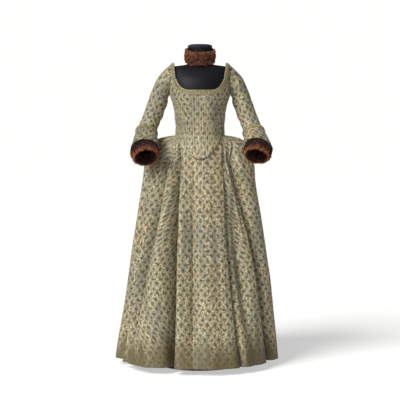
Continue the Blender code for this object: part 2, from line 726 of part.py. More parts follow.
def build_bodice_sides():
    """Build the two side fronts, from the slanting seam to the side seam."""
    for name, side in SIDES.items():
        seams = (seam_angle(side, 1.0), level_angle(side, SIDE_SEAM_ANGLE, -1.0))
        grid, normals = bodice_grid(*seams, spread((0.0, 1.0), (BODICE_COLUMNS,)))
        build_wall(f"bodice_side_{name}", grid, BODICE_WALL, make_material(f"side_{name}", BROCADE_BODICE),
                   normals=normals)


def build_bodice_back():
    """Build the fitted back that the pleats hang from."""
    first = level_angle(1.0, SIDE_SEAM_ANGLE, 1.0)
    last = level_angle(1.0, 360.0 - SIDE_SEAM_ANGLE, -1.0)
    near = (0.0, BACK_ARMHOLE_SHARE, BACK_CORNER_SHARE)
    far = tuple(1.0 - share for share in reversed(near))
    grid, normals = bodice_grid(first, last, spread(near + far, (2, 2, BACK_COLUMNS, 2, 2)))
    build_wall("bodice_back", grid, BODICE_WALL, make_material("fitted_back", BROCADE_BODICE),
               normals=normals)


def strap_grid(side, columns):
    """Return a strap's points from front to back, over some of its columns from the neck side."""
    return np.array([[strap_point(side, along / STRAP_ROWS, across / STRAP_COLUMNS)
                      for across in range(columns + 1)] for along in range(STRAP_ROWS + 1)])


def build_straps():
    """Build the two shoulder straps."""
    for name, side in SIDES.items():
        grid = strap_grid(side, STRAP_COLUMNS)
        inside = np.broadcast_to(np.array((side * SHOULDER_MIDDLE_OUT, 0.0, ARMHOLE_HEIGHT)), grid.shape)
        build_wall(f"strap_{name}", grid, BODICE_WALL, make_material(f"strap_{name}", BROCADE_BODICE),
                   inside=inside)


def neck_band_grid(surface, edge, reach, columns):
    """Return points of a band of braid that follows a neck edge, on the bodice's surface."""
    grid = []
    for row in range(BRAID_ROWS + 1):
        line = []
        for column in range(columns + 1):
            out = blend(-reach, reach, column / columns)
            inner = out - math.copysign(SLOPE_STEP, out)
            slope = (edge(out) - edge(inner)) / (out - inner)
            length = math.hypot(slope, 1.0)
            width = BRAID_WIDTH * row / BRAID_ROWS
            line.append(surface(out + width * slope / length, edge(out) - width / length))
        grid.append(line)
    return np.array(grid)


def build_neck_braid():
    """Build the braid round the neck opening, in four lengths."""
    lift = BRAID_CLEARANCE + BRAID_WALL
    reach = NECK_CORNER_OUT - 2.0 * NECK_CORNER_ROOM
    front = neck_band_grid(bodice_front_surface, neck_front_edge, reach, BRAID_FRONT_COLUMNS)
    build_wall("neckline_braid_front", front, BRAID_WALL, make_material("braid_front", GOLD_BRAID), lift=lift)
    reach = NECK_CORNER_OUT - 4.0 * NECK_CORNER_ROOM
    back = neck_band_grid(bodice_back_surface, neck_back_edge, reach, BRAID_BACK_COLUMNS)
    build_wall("neckline_braid_back", back, BRAID_WALL, make_material("braid_back", GOLD_BRAID), lift=lift)
    for name, side in SIDES.items():
        grid = strap_grid(side, STRAP_BRAID_COLUMNS)
        inside = np.broadcast_to(np.array((side * SHOULDER_MIDDLE_OUT, 0.0, ARMHOLE_HEIGHT)), grid.shape)
        build_wall(f"neckline_braid_{name}", grid, BRAID_WALL, make_material(f"braid_{name}", GOLD_BRAID),
                   inside=inside, lift=lift)


def arm_axes(section):
    """Return the outward, backward and downward directions of an arm section, on the right."""
    lean = math.radians(section.lean)
    pitch = math.radians(section.pitch)
    outward = Vector((math.cos(lean), 0.0, math.sin(lean)))
    backward = Vector((0.0, math.cos(pitch), -math.sin(pitch)))
    backward = (backward - outward * backward.dot(outward)).normalized()
    downward = outward.cross(backward)
    if downward.z > 0:
        downward = -downward
    return outward, backward, downward


def arm_ring(side, section, growth=0.0):
    """Return a ring of points round an arm section."""
    outward, backward, _ = arm_axes(section)
    centre = Vector((section.out, section.depth, section.height))
    ring = []
    for index in range(ARM_COLUMNS):
        turn = 2.0 * math.pi * index / ARM_COLUMNS
        across = outward * ((section.half_width + growth) * math.cos(turn))
        along = backward * ((section.half_depth + growth) * math.sin(turn))
        point = centre + across + along
        ring.append((side * point.x, point.y, point.z))
    return ring


def armhole_ring(side):
    """Return the ring where a sleeve is set into the bodice."""
    ring = []
    for index in range(ARM_COLUMNS):
        turn = 2.0 * math.pi * index / ARM_COLUMNS
        depth = ARMHOLE_HALF_DEPTH * math.sin(turn)
        height = ARMHOLE_HEIGHT + ARMHOLE_HALF_HEIGHT * math.cos(turn)
        ring.append((side * (bodice_side_out(depth, height) + ARMHOLE_CLEARANCE), depth, height))
    return ring


def build_sleeves():
    """Build the two sleeves, open at the armhole and inside the cuff."""
    for name, side in SIDES.items():
        grid = np.array([armhole_ring(side)] + [arm_ring(side, section) for section in SLEEVE])
        build_wall(f"sleeve_{name}", grid, SLEEVE_WALL, make_material(f"sleeve_{name}", BROCADE_BODICE),
                   closed_around=True, inside=ring_inside(grid))


def cuff_bottom(fur):
    """Return the section where a cuff meets its fur."""
    _, _, downward = arm_axes(fur)
    centre = Vector((fur.out, fur.depth, fur.height)) - downward * CUFF_SEAT
    radius = CUFF_TOP.half_width + CUFF_FLARE
    return ArmSection(centre.x, centre.y, centre.z, fur.lean, fur.pitch, radius, radius)


def cuff_section(fur, share):
    """Return a cuff's section a share of the way from its top to its fur."""
    return ArmSection(*(blend(top, end, share) for top, end in zip(CUFF_TOP, cuff_bottom(fur))))


def build_cuffs():
    """Build the flared cuffs and the braid on their top edges."""
    for name, side in SIDES.items():
        fur = FUR_CUFFS[name]
        grid = np.array([arm_ring(side, cuff_section(fur, row / CUFF_ROWS)) for row in range(CUFF_ROWS + 1)])
        build_wall(f"cuff_{name}", grid, SLEEVE_WALL, make_material(f"cuff_{name}", BROCADE_BODICE),
                   closed_around=True, inside=ring_inside(grid))
        band = np.array([arm_ring(side, cuff_section(fur, CUFF_BRAID_SHARE * row / BRAID_ROWS))
                         for row in range(BRAID_ROWS + 1)])
        build_wall(f"cuff_braid_{name}", band, BRAID_WALL, make_material(f"cuff_braid_{name}", GOLD_BRAID),
                   closed_around=True, inside=ring_inside(band), lift=BRAID_CLEARANCE + BRAID_WALL)


def build_fur_cuffs():
    """Build the rolled fur at the cuffs' lower edges."""
    for name, side in SIDES.items():
        fur = FUR_CUFFS[name]
        _, _, downward = arm_axes(fur)
        rings = []
        for step in range(FUR_STEPS):
            turn = 2.0 * math.pi * step / FUR_STEPS
            shift = downward * (FUR_CUFF_HALF_LENGTH * math.sin(turn))
            growth = FUR_CUFF_HALF_THICKNESS * math.cos(turn)
            ring = arm_ring(side, fur, growth)
            rings.append([(x + side * shift.x, y + shift.y, z + shift.z) for x, y, z in ring])
        build_solid(f"fur_cuff_{name}", rings, make_material(f"fur_{name}", BROWN_FUR), closed_along=True)


def build_fur_collar():
    """Build the fur band round the neck, a little lower in front."""
    tilt = math.radians(FUR_COLLAR_TILT)
    rings = []
    for step in range(FUR_STEPS):
        turn = 2.0 * math.pi * step / FUR_STEPS
        growth = FUR_COLLAR_HALF_THICKNESS * math.cos(turn)
        shift = FUR_COLLAR_HALF_HEIGHT * math.sin(turn)
        ring = []
        for column in range(TORSO_COLUMNS):
            around = 2.0 * math.pi * column / TORSO_COLUMNS
            out = (FUR_COLLAR_HALF_WIDTH + growth) * math.sin(around)
            forward = (FUR_COLLAR_HALF_DEPTH + growth) * math.cos(around)
            depth = -forward * math.cos(tilt) - shift * math.sin(tilt)
            height = FUR_COLLAR_HEIGHT - forward * math.sin(tilt) + shift * math.cos(tilt)
            ring.append((out, depth, height))
        rings.append(ring)
    build_solid("fur_collar", rings, make_material("fur_collar", BROWN_FUR), closed_along=True)


def skirt_grid(first_angle, last_angle):
    """Return a skirt breadth's outer points and normals, in columns that follow its folds."""
    low, high = sorted((first_angle(HEM_HEIGHT), last_angle(HEM_HEIGHT)))
    low += FOLD_EDGE_ROOM
    high -= FOLD_EDGE_ROOM
    inner = [fold for fold in FOLDS if low < fold_angle(fold, HEM_HEIGHT) < high]
    grid = []
    for height in SKIRT_LEVELS:
        ends = [first_angle(height), last_angle(height)]
        knots = sorted(ends + [fold_angle(fold, height) for fold in inner])
        angles = [blend(start, end, step / COLUMNS_BETWEEN_FOLDS)
                  for start, end in zip(knots, knots[1:]) for step in range(COLUMNS_BETWEEN_FOLDS)]
        grid.append([(angle, height) for angle in angles + [knots[-1]]])
    return surface_grid(skirt_point, grid)


def skirt_seam(fold, gap_side):
    """Return a front seam's angle over height, half a gap to one side of its valley."""
    def angle(height):
        return fold_angle(fold, height) + gap_side * SEAM_GAP / (2.0 * skirt_base_radius(0.0, height))
    return angle


def sack_seam(side):
    """Return the angle over height of the seam to the pleated back, a gap short of it."""
    def angle(height):
        return side * (sack_edge_angle(side, height) - SEAM_GAP / skirt_base_radius(math.pi, height))
    return angle


def build_skirt():
    """Build the skirt's front breadth and its two side breadths."""
    breadths = {
        "skirt_front": (skirt_seam(FRONT_SEAM_LEFT, 1.0), skirt_seam(FRONT_SEAM_RIGHT, -1.0)),
        "skirt_left": (skirt_seam(FRONT_SEAM_LEFT, -1.0), sack_seam(-1.0)),
        "skirt_right": (skirt_seam(FRONT_SEAM_RIGHT, 1.0), sack_seam(1.0)),
    }
    for name, seams in breadths.items():
        grid, normals = skirt_grid(*seams)
        build_wall(name, grid, SKIRT_WALL, make_material(name, BROCADE), normals=normals)


def build_sack():
    """Build the pleated back, from the back of the neck to the hem."""
    levels = SKIRT_LEVELS + SACK_EXTRA_LEVELS
    grid = np.array([[sack_point(blend(-1.0, 1.0, column / SACK_COLUMNS), height)
                      for column in range(SACK_COLUMNS + 1)] for height in levels])
    build_wall("sack_back", grid, SKIRT_WALL, make_material("sack_back", BROCADE))


def round_ring(half_width, half_depth, height, columns):
    """Return a level oval ring of points."""
    turns = [2.0 * math.pi * index / columns for index in range(columns)]
    return [(half_width * math.sin(turn), -half_depth * math.cos(turn), height) for turn in turns]


def build_form_torso():
    """Build the form's smooth body, from its hips to the top of its neck."""
    rings = []
    turns = [2.0 * math.pi * index / TORSO_COLUMNS for index in range(TORSO_COLUMNS)]
    for row in FIGURE:
        half_width, front, back = [size - FORM_SHRINK for size in (row.half_width, row.front, row.back)]
        sizes = (half_width, front, back, row.squareness)
        rings.append([polar_point(turn, section_radius(turn, *sizes), 0.0, row.height) for turn in turns])
    build_solid("form_torso", rings, make_material("form_cloth", BLACK_FORM))


def build_form_cap():
    """Build the shallow domed cap on the form's neck."""
    neck = FIGURE[-1].half_width
    start = FORM_NECK_HEIGHT + SEAM_GAP
    rise = FORM_CAP_HEIGHT - start
    rings = []
    for row in CAP:
        radius = neck * row.size
        rings.append(round_ring(radius, radius, start + rise * row.rise, TORSO_COLUMNS))
    build_solid("form_cap", rings, make_material("form_cap", BLACK_FORM))


def build_form_stand():
    """Build the pole and the round foot plate."""
    pole = [round_ring(POLE_RADIUS, POLE_RADIUS, height, POLE_COLUMNS)
            for height in (PLATE_HEIGHT + SEAM_GAP, FORM_BOTTOM_HEIGHT - SEAM_GAP)]
    build_solid("form_pole", pole, make_material("form_pole", BLACK_METAL))
    inner = PLATE_RADIUS - PLATE_BEVEL
    plate = [round_ring(PLATE_RADIUS, PLATE_RADIUS, 0.0, PLATE_COLUMNS)]
    plate.append(round_ring(PLATE_RADIUS, PLATE_RADIUS, PLATE_HEIGHT - PLATE_BEVEL, PLATE_COLUMNS))
    plate.append(round_ring(inner, inner, PLATE_HEIGHT, PLATE_COLUMNS))
    build_solid("form_base", plate, make_material("form_base", BLACK_METAL))


def main():
    """Clear the scene and build every piece."""
    for existing in list(bpy.data.objects):
        bpy.data.objects.remove(existing, do_unlink=True)
    build_form_torso()
    build_form_cap()
    build_form_stand()
    build_bodice_fronts()
    build_bodice_sides()
    build_bodice_back()
    build_straps()
    build_neck_braid()
    build_sleeves()
    build_cuffs()
    build_fur_cuffs()
    build_fur_collar()
    build_skirt()
    build_sack()


main()
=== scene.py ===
"""Brocade gown with a fur collar and fur cuffs, on a limbless dress form.

Metres, +Z up. The gown faces -Y; "left" is the -X side and "right" the +X side.
"""

import logging
import math
from dataclasses import dataclass, field
from enum import Enum
from typing import Callable, NamedTuple, Optional, Sequence

import bpy
import numpy as np
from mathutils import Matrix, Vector


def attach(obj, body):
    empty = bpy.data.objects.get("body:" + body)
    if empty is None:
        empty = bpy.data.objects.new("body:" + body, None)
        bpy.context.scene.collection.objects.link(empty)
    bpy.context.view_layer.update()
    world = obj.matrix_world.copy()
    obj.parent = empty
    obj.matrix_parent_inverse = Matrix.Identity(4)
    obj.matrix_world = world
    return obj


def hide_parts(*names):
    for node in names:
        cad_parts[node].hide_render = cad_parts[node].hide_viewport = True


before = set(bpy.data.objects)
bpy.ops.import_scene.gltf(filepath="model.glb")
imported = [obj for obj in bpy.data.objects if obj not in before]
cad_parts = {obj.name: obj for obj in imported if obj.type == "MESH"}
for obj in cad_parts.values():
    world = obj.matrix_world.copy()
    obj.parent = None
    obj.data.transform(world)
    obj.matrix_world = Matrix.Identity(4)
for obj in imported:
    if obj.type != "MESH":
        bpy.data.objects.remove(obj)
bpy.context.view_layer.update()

LOG = logging.getLogger("gown")
Array = np.ndarray
Place = Callable[[Array, Array], Array]

HEM_HEIGHT = 0.030
WAIST_HEIGHT = 1.034
SEAM_GAP = 0.0003
ANGLE_STEP = 0.004
HEIGHT_STEP = 0.001
UV_NAME = "cloth"
SHARP_EDGE = math.radians(60.0)


class Side(Enum):
    """The gown's two sides, as seen by someone who faces it."""

    LEFT = -1.0
    RIGHT = 1.0

    @property
    def word(self) -> str:
        """Return the side's name as the nodes spell it."""
        return self.name.lower()


class Slot(Enum):
    """The record's material slots, named for the scene's own pieces."""

    BROCADE = "brocade"
    GOLD_BRAID = "gold_braid"
    FUR = "fur"
    FORM_CLOTH = "form_cloth"


class Held(Enum):
    """How a sheet of cloth is held."""

    GATHERED = "gathered"
    STRETCHED = "stretched"


# Numbers


def smooth_step(start: float, end: float, value: Array) -> Array:
    """Return a share that rises smoothly from 0 at start to 1 at end, for each value."""
    share = np.clip((np.asarray(value, dtype=float) - start) / (end - start), 0.0, 1.0)
    return share * share * (3.0 - 2.0 * share)


def blend(first: Array, second: Array, share: Array) -> Array:
    """Return the value a share of the way from first to second."""
    return first + (second - first) * share


def cubic(share: Array, step: Array, ends: tuple[Array, Array], slopes: tuple[Array, Array]) -> Array:
    """Return values on a cubic line between two places.

    Args:
        share: How far along it, from 0 to 1.
        step: The distance between the places.
        ends: The values at the two places.
        slopes: The slopes at the two places.

    Returns:
        The values.
    """
    squared, cubed = share ** 2, share ** 3
    value = (2 * cubed - 3 * squared + 1) * ends[0] + (3 * squared - 2 * cubed) * ends[1]
    return value + ((cubed - 2 * squared + share) * slopes[0] + (cubed - squared) * slopes[1]) * step


class Curve:
    """A smooth line through points that never swings past them."""

    def __init__(self, places: Sequence[float], values: Sequence[float]) -> None:
        """Set the points and work out a tangent at each.

        Args:
            places: Rising places.
            values: The value at each place.
        """
        self.places = np.array(places, dtype=float)
        self.values = np.array(values, dtype=float)
        slopes = np.diff(self.values) / np.diff(self.places)
        before, after = slopes[:-1], slopes[1:]
        same_way = before * after > 0
        total = np.where(same_way, before + after, 1.0)
        inner = np.where(same_way, 2.0 * before * after / total, 0.0)
        self.tangents = np.concatenate([slopes[:1], inner, slopes[-1:]])

    def __call__(self, place: Array) -> Array:
        """Return the value at each place, held level past either end.

        Args:
            place: Where to read the line.

        Returns:
            The values there.
        """
        place = np.clip(np.asarray(place, dtype=float), self.places[0], self.places[-1])
        index = np.clip(np.searchsorted(self.places, place, side="right") - 1, 0, len(self.places) - 2)
        step = self.places[index + 1] - self.places[index]
        ends, slopes = [(source[index], source[index + 1]) for source in (self.values, self.tangents)]
        return cubic((place - self.places[index]) / step, step, ends, slopes)


def table_curves(rows: Sequence[NamedTuple]) -> dict[str, Curve]:
    """Return one curve over height for each other column of a table.

    Args:
        rows: Rows with a height and other named columns.

    Returns:
        The curves by column name.
    """
    names = [name for name in rows[0]._fields if name != "height"]
    heights = [row.height for row in rows]
    return {name: Curve(heights, [getattr(row, name) for row in rows]) for name in names}


def section_radius(angle: Array, half_width: Array, front: Array, back: Array, squareness: Array) -> Array:
    """Return the distance from a section's middle to its edge.

    Args:
        angle: Angle from the front, in radians.
        half_width: The section's half width.
        front: How far it reaches forwards.
        back: How far it reaches back.
        squareness: 2 for an oval, more for a squarer form.

    Returns:
        The radius at each angle.
    """
    along_depth = np.where(np.cos(angle) > 0, front, back)
    across = np.abs(np.sin(angle)) / half_width
    along = np.abs(np.cos(angle)) / along_depth
    return (across ** squareness + along ** squareness) ** (-1.0 / squareness)


def section_depth(out: Array, half_width: Array, depth: Array, squareness: Array) -> Array:
    """Return how far forwards or back a section reaches, at a distance out from its middle."""
    share = np.clip(np.abs(out) / half_width, 0.0, 1.0)
    return depth * (1.0 - share ** squareness) ** (1.0 / squareness)


def polar_point(angle: Array, radius: Array, middle: Array, height: Array) -> Array:
    """Return points at an angle and a radius from the middle, front at angle 0."""
    return joined(radius * np.sin(angle), middle - radius * np.cos(angle), height)


def surface_normals(point_at: Place, angle: Array, height: Array) -> Array:
    """Return unit normals of a surface that is given by angle and height.

    Args:
        point_at: The surface.
        angle: Angles of the places.
        height: Heights of the places.

    Returns:
        The normals, one for each place.
    """
    around = point_at(angle + ANGLE_STEP, height) - point_at(angle - ANGLE_STEP, height)
    upward = point_at(angle, height + HEIGHT_STEP) - point_at(angle, height - HEIGHT_STEP)
    return unit(np.cross(around, upward))


def grid_normals(grid: Array, closed: bool, inside: Array) -> Array:
    """Return unit normals of a grid of points, facing away from the inside.

    Args:
        grid: Rows of points.
        closed: Whether each row is a ring.
        inside: A point or points that the normals face away from.

    Returns:
        The normals.
    """
    if closed:
        wrapped = np.concatenate([grid[:, -1:], grid, grid[:, :1]], axis=1)
        across = np.gradient(wrapped, axis=1)[:, 1:-1]
    else:
        across = np.gradient(grid, axis=1, edge_order=2)
    normals = unit(np.cross(across, np.gradient(grid, axis=0, edge_order=2)))
    return normals if np.sum(normals * (grid - inside)) > 0 else -normals


def arc_lengths(grid: Array, axis: int) -> Array:
    """Return the distance run along each line of a grid.

    Args:
        grid: Rows of points.
        axis: 1 to run along the rows, 0 to run along the columns.

    Returns:
        The distance from the line's start, for each point.
    """
    steps = np.linalg.norm(np.diff(grid, axis=axis), axis=-1)
    start = np.zeros_like(np.take(steps, [0], axis=axis))
    return np.cumsum(np.concatenate([start, steps], axis=axis), axis=axis)


def spread(knots: Sequence[float], counts: Sequence[int]) -> Array:
    """Return places that run through the knots.

    Args:
        knots: Rising places.
        counts: How many steps lie between each two knots.

    Returns:
        All the places.
    """
    runs = [np.linspace(start, end, count, endpoint=False)
            for start, end, count in zip(knots, knots[1:], counts)]
    return np.concatenate(runs + [np.array(knots[-1:])])


def unit(vectors: Array) -> Array:
    """Return vectors at a length of 1."""
    return vectors / np.linalg.norm(vectors, axis=-1, keepdims=True)


def joined(*parts: Array) -> Array:
    """Return the parts, stretched to one shape, side by side in the last axis."""
    return np.stack(np.broadcast_arrays(*parts), axis=-1).astype(float)


def closed_up(grid: Array) -> Array:
    """Return a grid of rings with its first column once more at its end."""
    return np.concatenate([grid, grid[:, :1]], axis=1)


def flat_coordinates(grid: Array, shift: float) -> Array:
    """Return a hanging breadth's cloth coordinates, in metres from its middle column.

    Args:
        grid: Rows of points, from the hem up.
        shift: Where in the cloth's figure it is cut.

    Returns:
        A coordinate for each point.
    """
    across = arc_lengths(grid, 1)
    across = across - across[:, across.shape[1] // 2][:, None]
    return joined(across + shift, arc_lengths(grid, 0).mean(axis=1)[:, None])


# Meshes


class MeshMaker:
    """Collects vertices, faces, cloth coordinates and material numbers of one piece."""

    def __init__(self) -> None:
        """Start with nothing."""
        self.points: list[Array] = []
        self.faces: list[Array] = []
        self.coordinates: list[Array] = []
        self.numbers: list[Array] = []
        self.count = 0

    def add_points(self, points: Array) -> int:
        """Add points and return the number of the first.

        Args:
            points: Points in any arrangement.

        Returns:
            The index of the first of them.
        """
        first = self.count
        flat = points.reshape(-1, 3)
        self.points.append(flat)
        self.count += len(flat)
        return first

    def add_faces(self, faces: Array, coordinates: Array, number: int = 0) -> None:
        """Add faces of one size.

        Args:
            faces: One row of vertex numbers for each face.
            coordinates: The cloth coordinate of each corner.
            number: The material number.
        """
        self.faces.append(faces)
        self.coordinates.append(coordinates.reshape(-1, 2))
        self.numbers.append(np.full(len(faces), number))

    def add_grid(self, first: int, shape: tuple[int, int], coordinates: Array, closed: bool, flip: bool,
                 number: int = 0) -> None:
        """Add the faces of a grid whose points are in already.

        Args:
            first: The number of the grid's first point.
            shape: Its rows and columns.
            coordinates: Cloth coordinates, with one more column than the grid if it is closed.
            closed: Whether each row is a ring.
            flip: Whether to turn the faces round.
            number: The material number.
        """
        rows, columns = shape
        spans = columns if closed else columns - 1
        row, column = [values.ravel() for values in np.indices((rows - 1, spans))]
        corner_rows = np.stack([row, row, row + 1, row + 1], axis=1)
        corner_columns = np.stack([column, column + 1, column + 1, column], axis=1)
        if flip:
            corner_rows, corner_columns = corner_rows[:, ::-1], corner_columns[:, ::-1]
        faces = first + corner_rows * columns + corner_columns % columns
        self.add_faces(faces, coordinates[corner_rows, corner_columns], number)

    def add_strip(self, first_line: Array, second_line: Array, closed: bool, coordinate: Array,
                  flip: bool) -> None:
        """Join two lines of points that are in already.

        Args:
            first_line: Vertex numbers of one line.
            second_line: Vertex numbers of the other.
            closed: Whether the lines are rings.
            coordinate: Cloth coordinates along the line.
            flip: Whether to turn the faces round.
        """
        after = slice(1, None)
        if closed:
            first_line = np.append(first_line, first_line[0])
            second_line = np.append(second_line, second_line[0])
        faces = np.stack([first_line[:-1], first_line[after], second_line[after], second_line[:-1]], axis=1)
        corners = np.stack([coordinate[:-1], coordinate[after], coordinate[after], coordinate[:-1]], axis=1)
        if flip:
            faces, corners = faces[:, ::-1], corners[:, ::-1]
        self.add_faces(faces, corners)

    def add_wall(self, grid: Array, normals: Array, thickness: float, coordinates: Array,
                 closed: bool = False, inner_number: int = 0) -> None:
        """Add a cloth wall: its outer side, its inner side and its edges.

        Args:
            grid: The outer points.
            normals: Unit normals at the outer points.
            thickness: The cloth's thickness.
            coordinates: Cloth coordinates, with one more column than the grid if it is closed.
            closed: Whether each row is a ring.
            inner_number: The material number of the inner side.
        """
        rows, columns = grid.shape[:2]
        outer = self.add_points(grid)
        inner = self.add_points(grid - thickness * normals)
        face_normal = np.cross(grid[0, 1] - grid[0, 0], grid[1, 0] - grid[0, 0])
        flip = bool(np.dot(face_normal, normals[0, 0]) < 0)
        self.add_grid(outer, (rows, columns), coordinates, closed, flip)
        self.add_grid(inner, (rows, columns), coordinates, closed, not flip, inner_number)
        numbers = np.arange(rows * columns).reshape(rows, columns)
        for end, turn in ((0, True), (-1, False)):
            line = numbers[end]
            self.add_strip(outer + line, inner + line, closed, coordinates[end], flip != turn)
        if not closed:
            for end, turn in ((0, False), (-1, True)):
                line = numbers[:, end]
                self.add_strip(outer + line, inner + line, False, coordinates[:, end], flip != turn)

    def add_tube(self, path: Array, radius: Array, sides: int, closed: bool = False, number: int = 0) -> None:
        """Add a tube along a path.

        Args:
            path: The points that it follows.
            radius: Its radius at each point.
            sides: How many sides it has.
            closed: Whether the path is a ring.
            number: The material number.
        """
        if closed:
            tangents = unit(np.roll(path, -1, axis=0) - np.roll(path, 1, axis=0))
        else:
            tangents = unit(np.gradient(path, axis=0))
        across = np.zeros_like(path)
        guide = np.array((0.0, 0.0, 1.0)) if abs(tangents[0, 2]) < 0.9 else np.array((1.0, 0.0, 0.0))
        for index, tangent in enumerate(tangents):
            guide = guide - tangent * np.dot(guide, tangent)
            guide /= np.linalg.norm(guide)
            across[index] = guide
        beside = np.cross(tangents, across)
        turns = np.linspace(0.0, math.tau, sides, endpoint=False)
        size = np.broadcast_to(radius, (len(path),))[:, None, None]
        ring = across[:, None] * np.cos(turns)[None, :, None] + beside[:, None] * np.sin(turns)[None, :, None]
        rings = path[:, None] + size * ring
        along = arc_lengths(path[:, None], 0)[:, 0]
        around = np.linspace(0.0, 1.0, sides + 1) * math.tau * float(np.mean(size))
        coordinates = joined(around[None, :], along[:, None])
        first = self.add_points(rings)
        self.add_grid(first, (len(path), sides), coordinates, True, True, number)
        numbers = first + np.arange(len(path) * sides).reshape(len(path), sides)
        if closed:
            self.add_strip(numbers[-1], numbers[0], True, coordinates[-1], True)
        else:
            for line, turned in ((numbers[0], False), (numbers[-1], True)):
                face = (line[::-1] if turned else line)[None, :]
                self.add_faces(face, np.repeat(coordinates[:1, :1], sides, axis=1), number)

    def build(self, name: str, materials: Sequence[bpy.types.Material],
              smooth: bool = True) -> bpy.types.Object:
        """Make the object.

        Args:
            name: The object's name.
            materials: Its materials, in the order of their numbers.
            smooth: Whether its faces are shaded smooth.

        Returns:
            The new object, linked to the scene.
        """
        faces: list[list[int]] = []
        for group in self.faces:
            faces.extend(group.tolist())
        mesh = bpy.data.meshes.new(name)
        mesh.from_pydata(np.concatenate(self.points).tolist(), [], faces)
        layer = mesh.uv_layers.new(name=UV_NAME)
        layer.data.foreach_set("uv", np.concatenate(self.coordinates).astype(np.float32).ravel())
        mesh.polygons.foreach_set("material_index", np.concatenate(self.numbers).astype(np.int32))
        for material in materials:
            mesh.materials.append(material)
        if smooth:
            mesh.shade_smooth()
            mesh.set_sharp_from_angle(angle=SHARP_EDGE)
        mesh.update()
        result = bpy.data.objects.new(name, mesh)
        bpy.context.scene.collection.objects.link(result)
        return result


def place(piece: bpy.types.Object, slot: Slot, nodes: Sequence[str]) -> bpy.types.Object:
    """Let a piece ride on the gown's body and stand for its nodes.

    Args:
        piece: The piece.
        slot: The record's material slot; not used.
        nodes: The nodes that it stands for.

    Returns:
        The piece.
    """
    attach(piece, "root")
    if nodes:
        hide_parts(*nodes)
    LOG.info("%s: %d faces", piece.name, len(piece.data.polygons))
    return piece


def add_cloth(node: str, materials: Sequence[bpy.types.Material], grid: Array, normals: Array, wall: float,
              coordinates: Array, closed: bool = False) -> None:
    """Args:
        node: The node that it stands for.
        materials: The materials of its outer and its inner side.
        grid: Its outer points.
        normals: Unit normals at the outer points.
        wall: The cloth's thickness.
        coordinates: Its cloth coordinates.
        closed: Whether each row is a ring.
    """
    maker = MeshMaker()
    maker.add_wall(grid, normals, wall, coordinates, closed, 1)
    piece = place(maker.build(f"{node}_cloth", materials), Slot.BROCADE, [node])


# Finishes


def linear_colour(hex_text: str) -> tuple[float, float, float, float]:
    """Turn an sRGB hex colour into linear RGBA.

    Args:
        hex_text: Six hex digits.

    Returns:
        The linear colour.
    """
    channels = [int(hex_text[start:start + 2], 16) / 255.0 for start in (0, 2, 4)]
    red, green, blue = [c / 12.92 if c <= 0.04045 else ((c + 0.055) / 1.055) ** 2.4 for c in channels]
    return (red, green, blue, 1.0)


def set_inputs(tree: bpy.types.NodeTree, node: bpy.types.Node, inputs: dict) -> None:
    """Set or link a node's inputs.

    Args:
        tree: The node tree.
        node: The node.
        inputs: Values or output sockets by input name or number.
    """
    for key, value in inputs.items():
        if isinstance(value, bpy.types.NodeSocket):
            tree.links.new(value, node.inputs[key])
        else:
            node.inputs[key].default_value = value


def add_node(tree: bpy.types.NodeTree, kind: str, settings: Optional[dict] = None,
             inputs: Optional[dict] = None) -> bpy.types.Node:
    """Add a node with its settings and its inputs' values or links.

    Args:
        tree: The material's node tree.
        kind: The node's type name, without the ShaderNode before it.
        settings: Properties by name; "stops" holds a colour ramp's places and colours.
        inputs: Values or output sockets by input name or number.

    Returns:
        The new node.
    """
    node = tree.nodes.new(f"ShaderNode{kind}")
    for name, value in (settings or {}).items():
        if name != "stops":
            setattr(node, name, value)
            continue
        elements = node.color_ramp.elements
        while len(elements) < len(value):
            elements.new(1.0)
        for element, (position, colour) in zip(elements, value):
            element.position = position
            element.color = colour
    set_inputs(tree, node, inputs or {})
    return node


def grey(level: float) -> tuple[float, float, float, float]:
    """Return a grey of a linear level."""
    return (level, level, level, 1.0)


def start_material(name: str) -> tuple[bpy.types.Material, bpy.types.NodeTree, bpy.types.Node]:
    """Start a node material.

    Args:
        name: The material's name.

    Returns:
        The material, its tree and its shader.
    """
    material = bpy.data.materials.new(name)
    material.use_nodes = True
    tree = material.node_tree
    return material, tree, tree.nodes["Principled BSDF"]


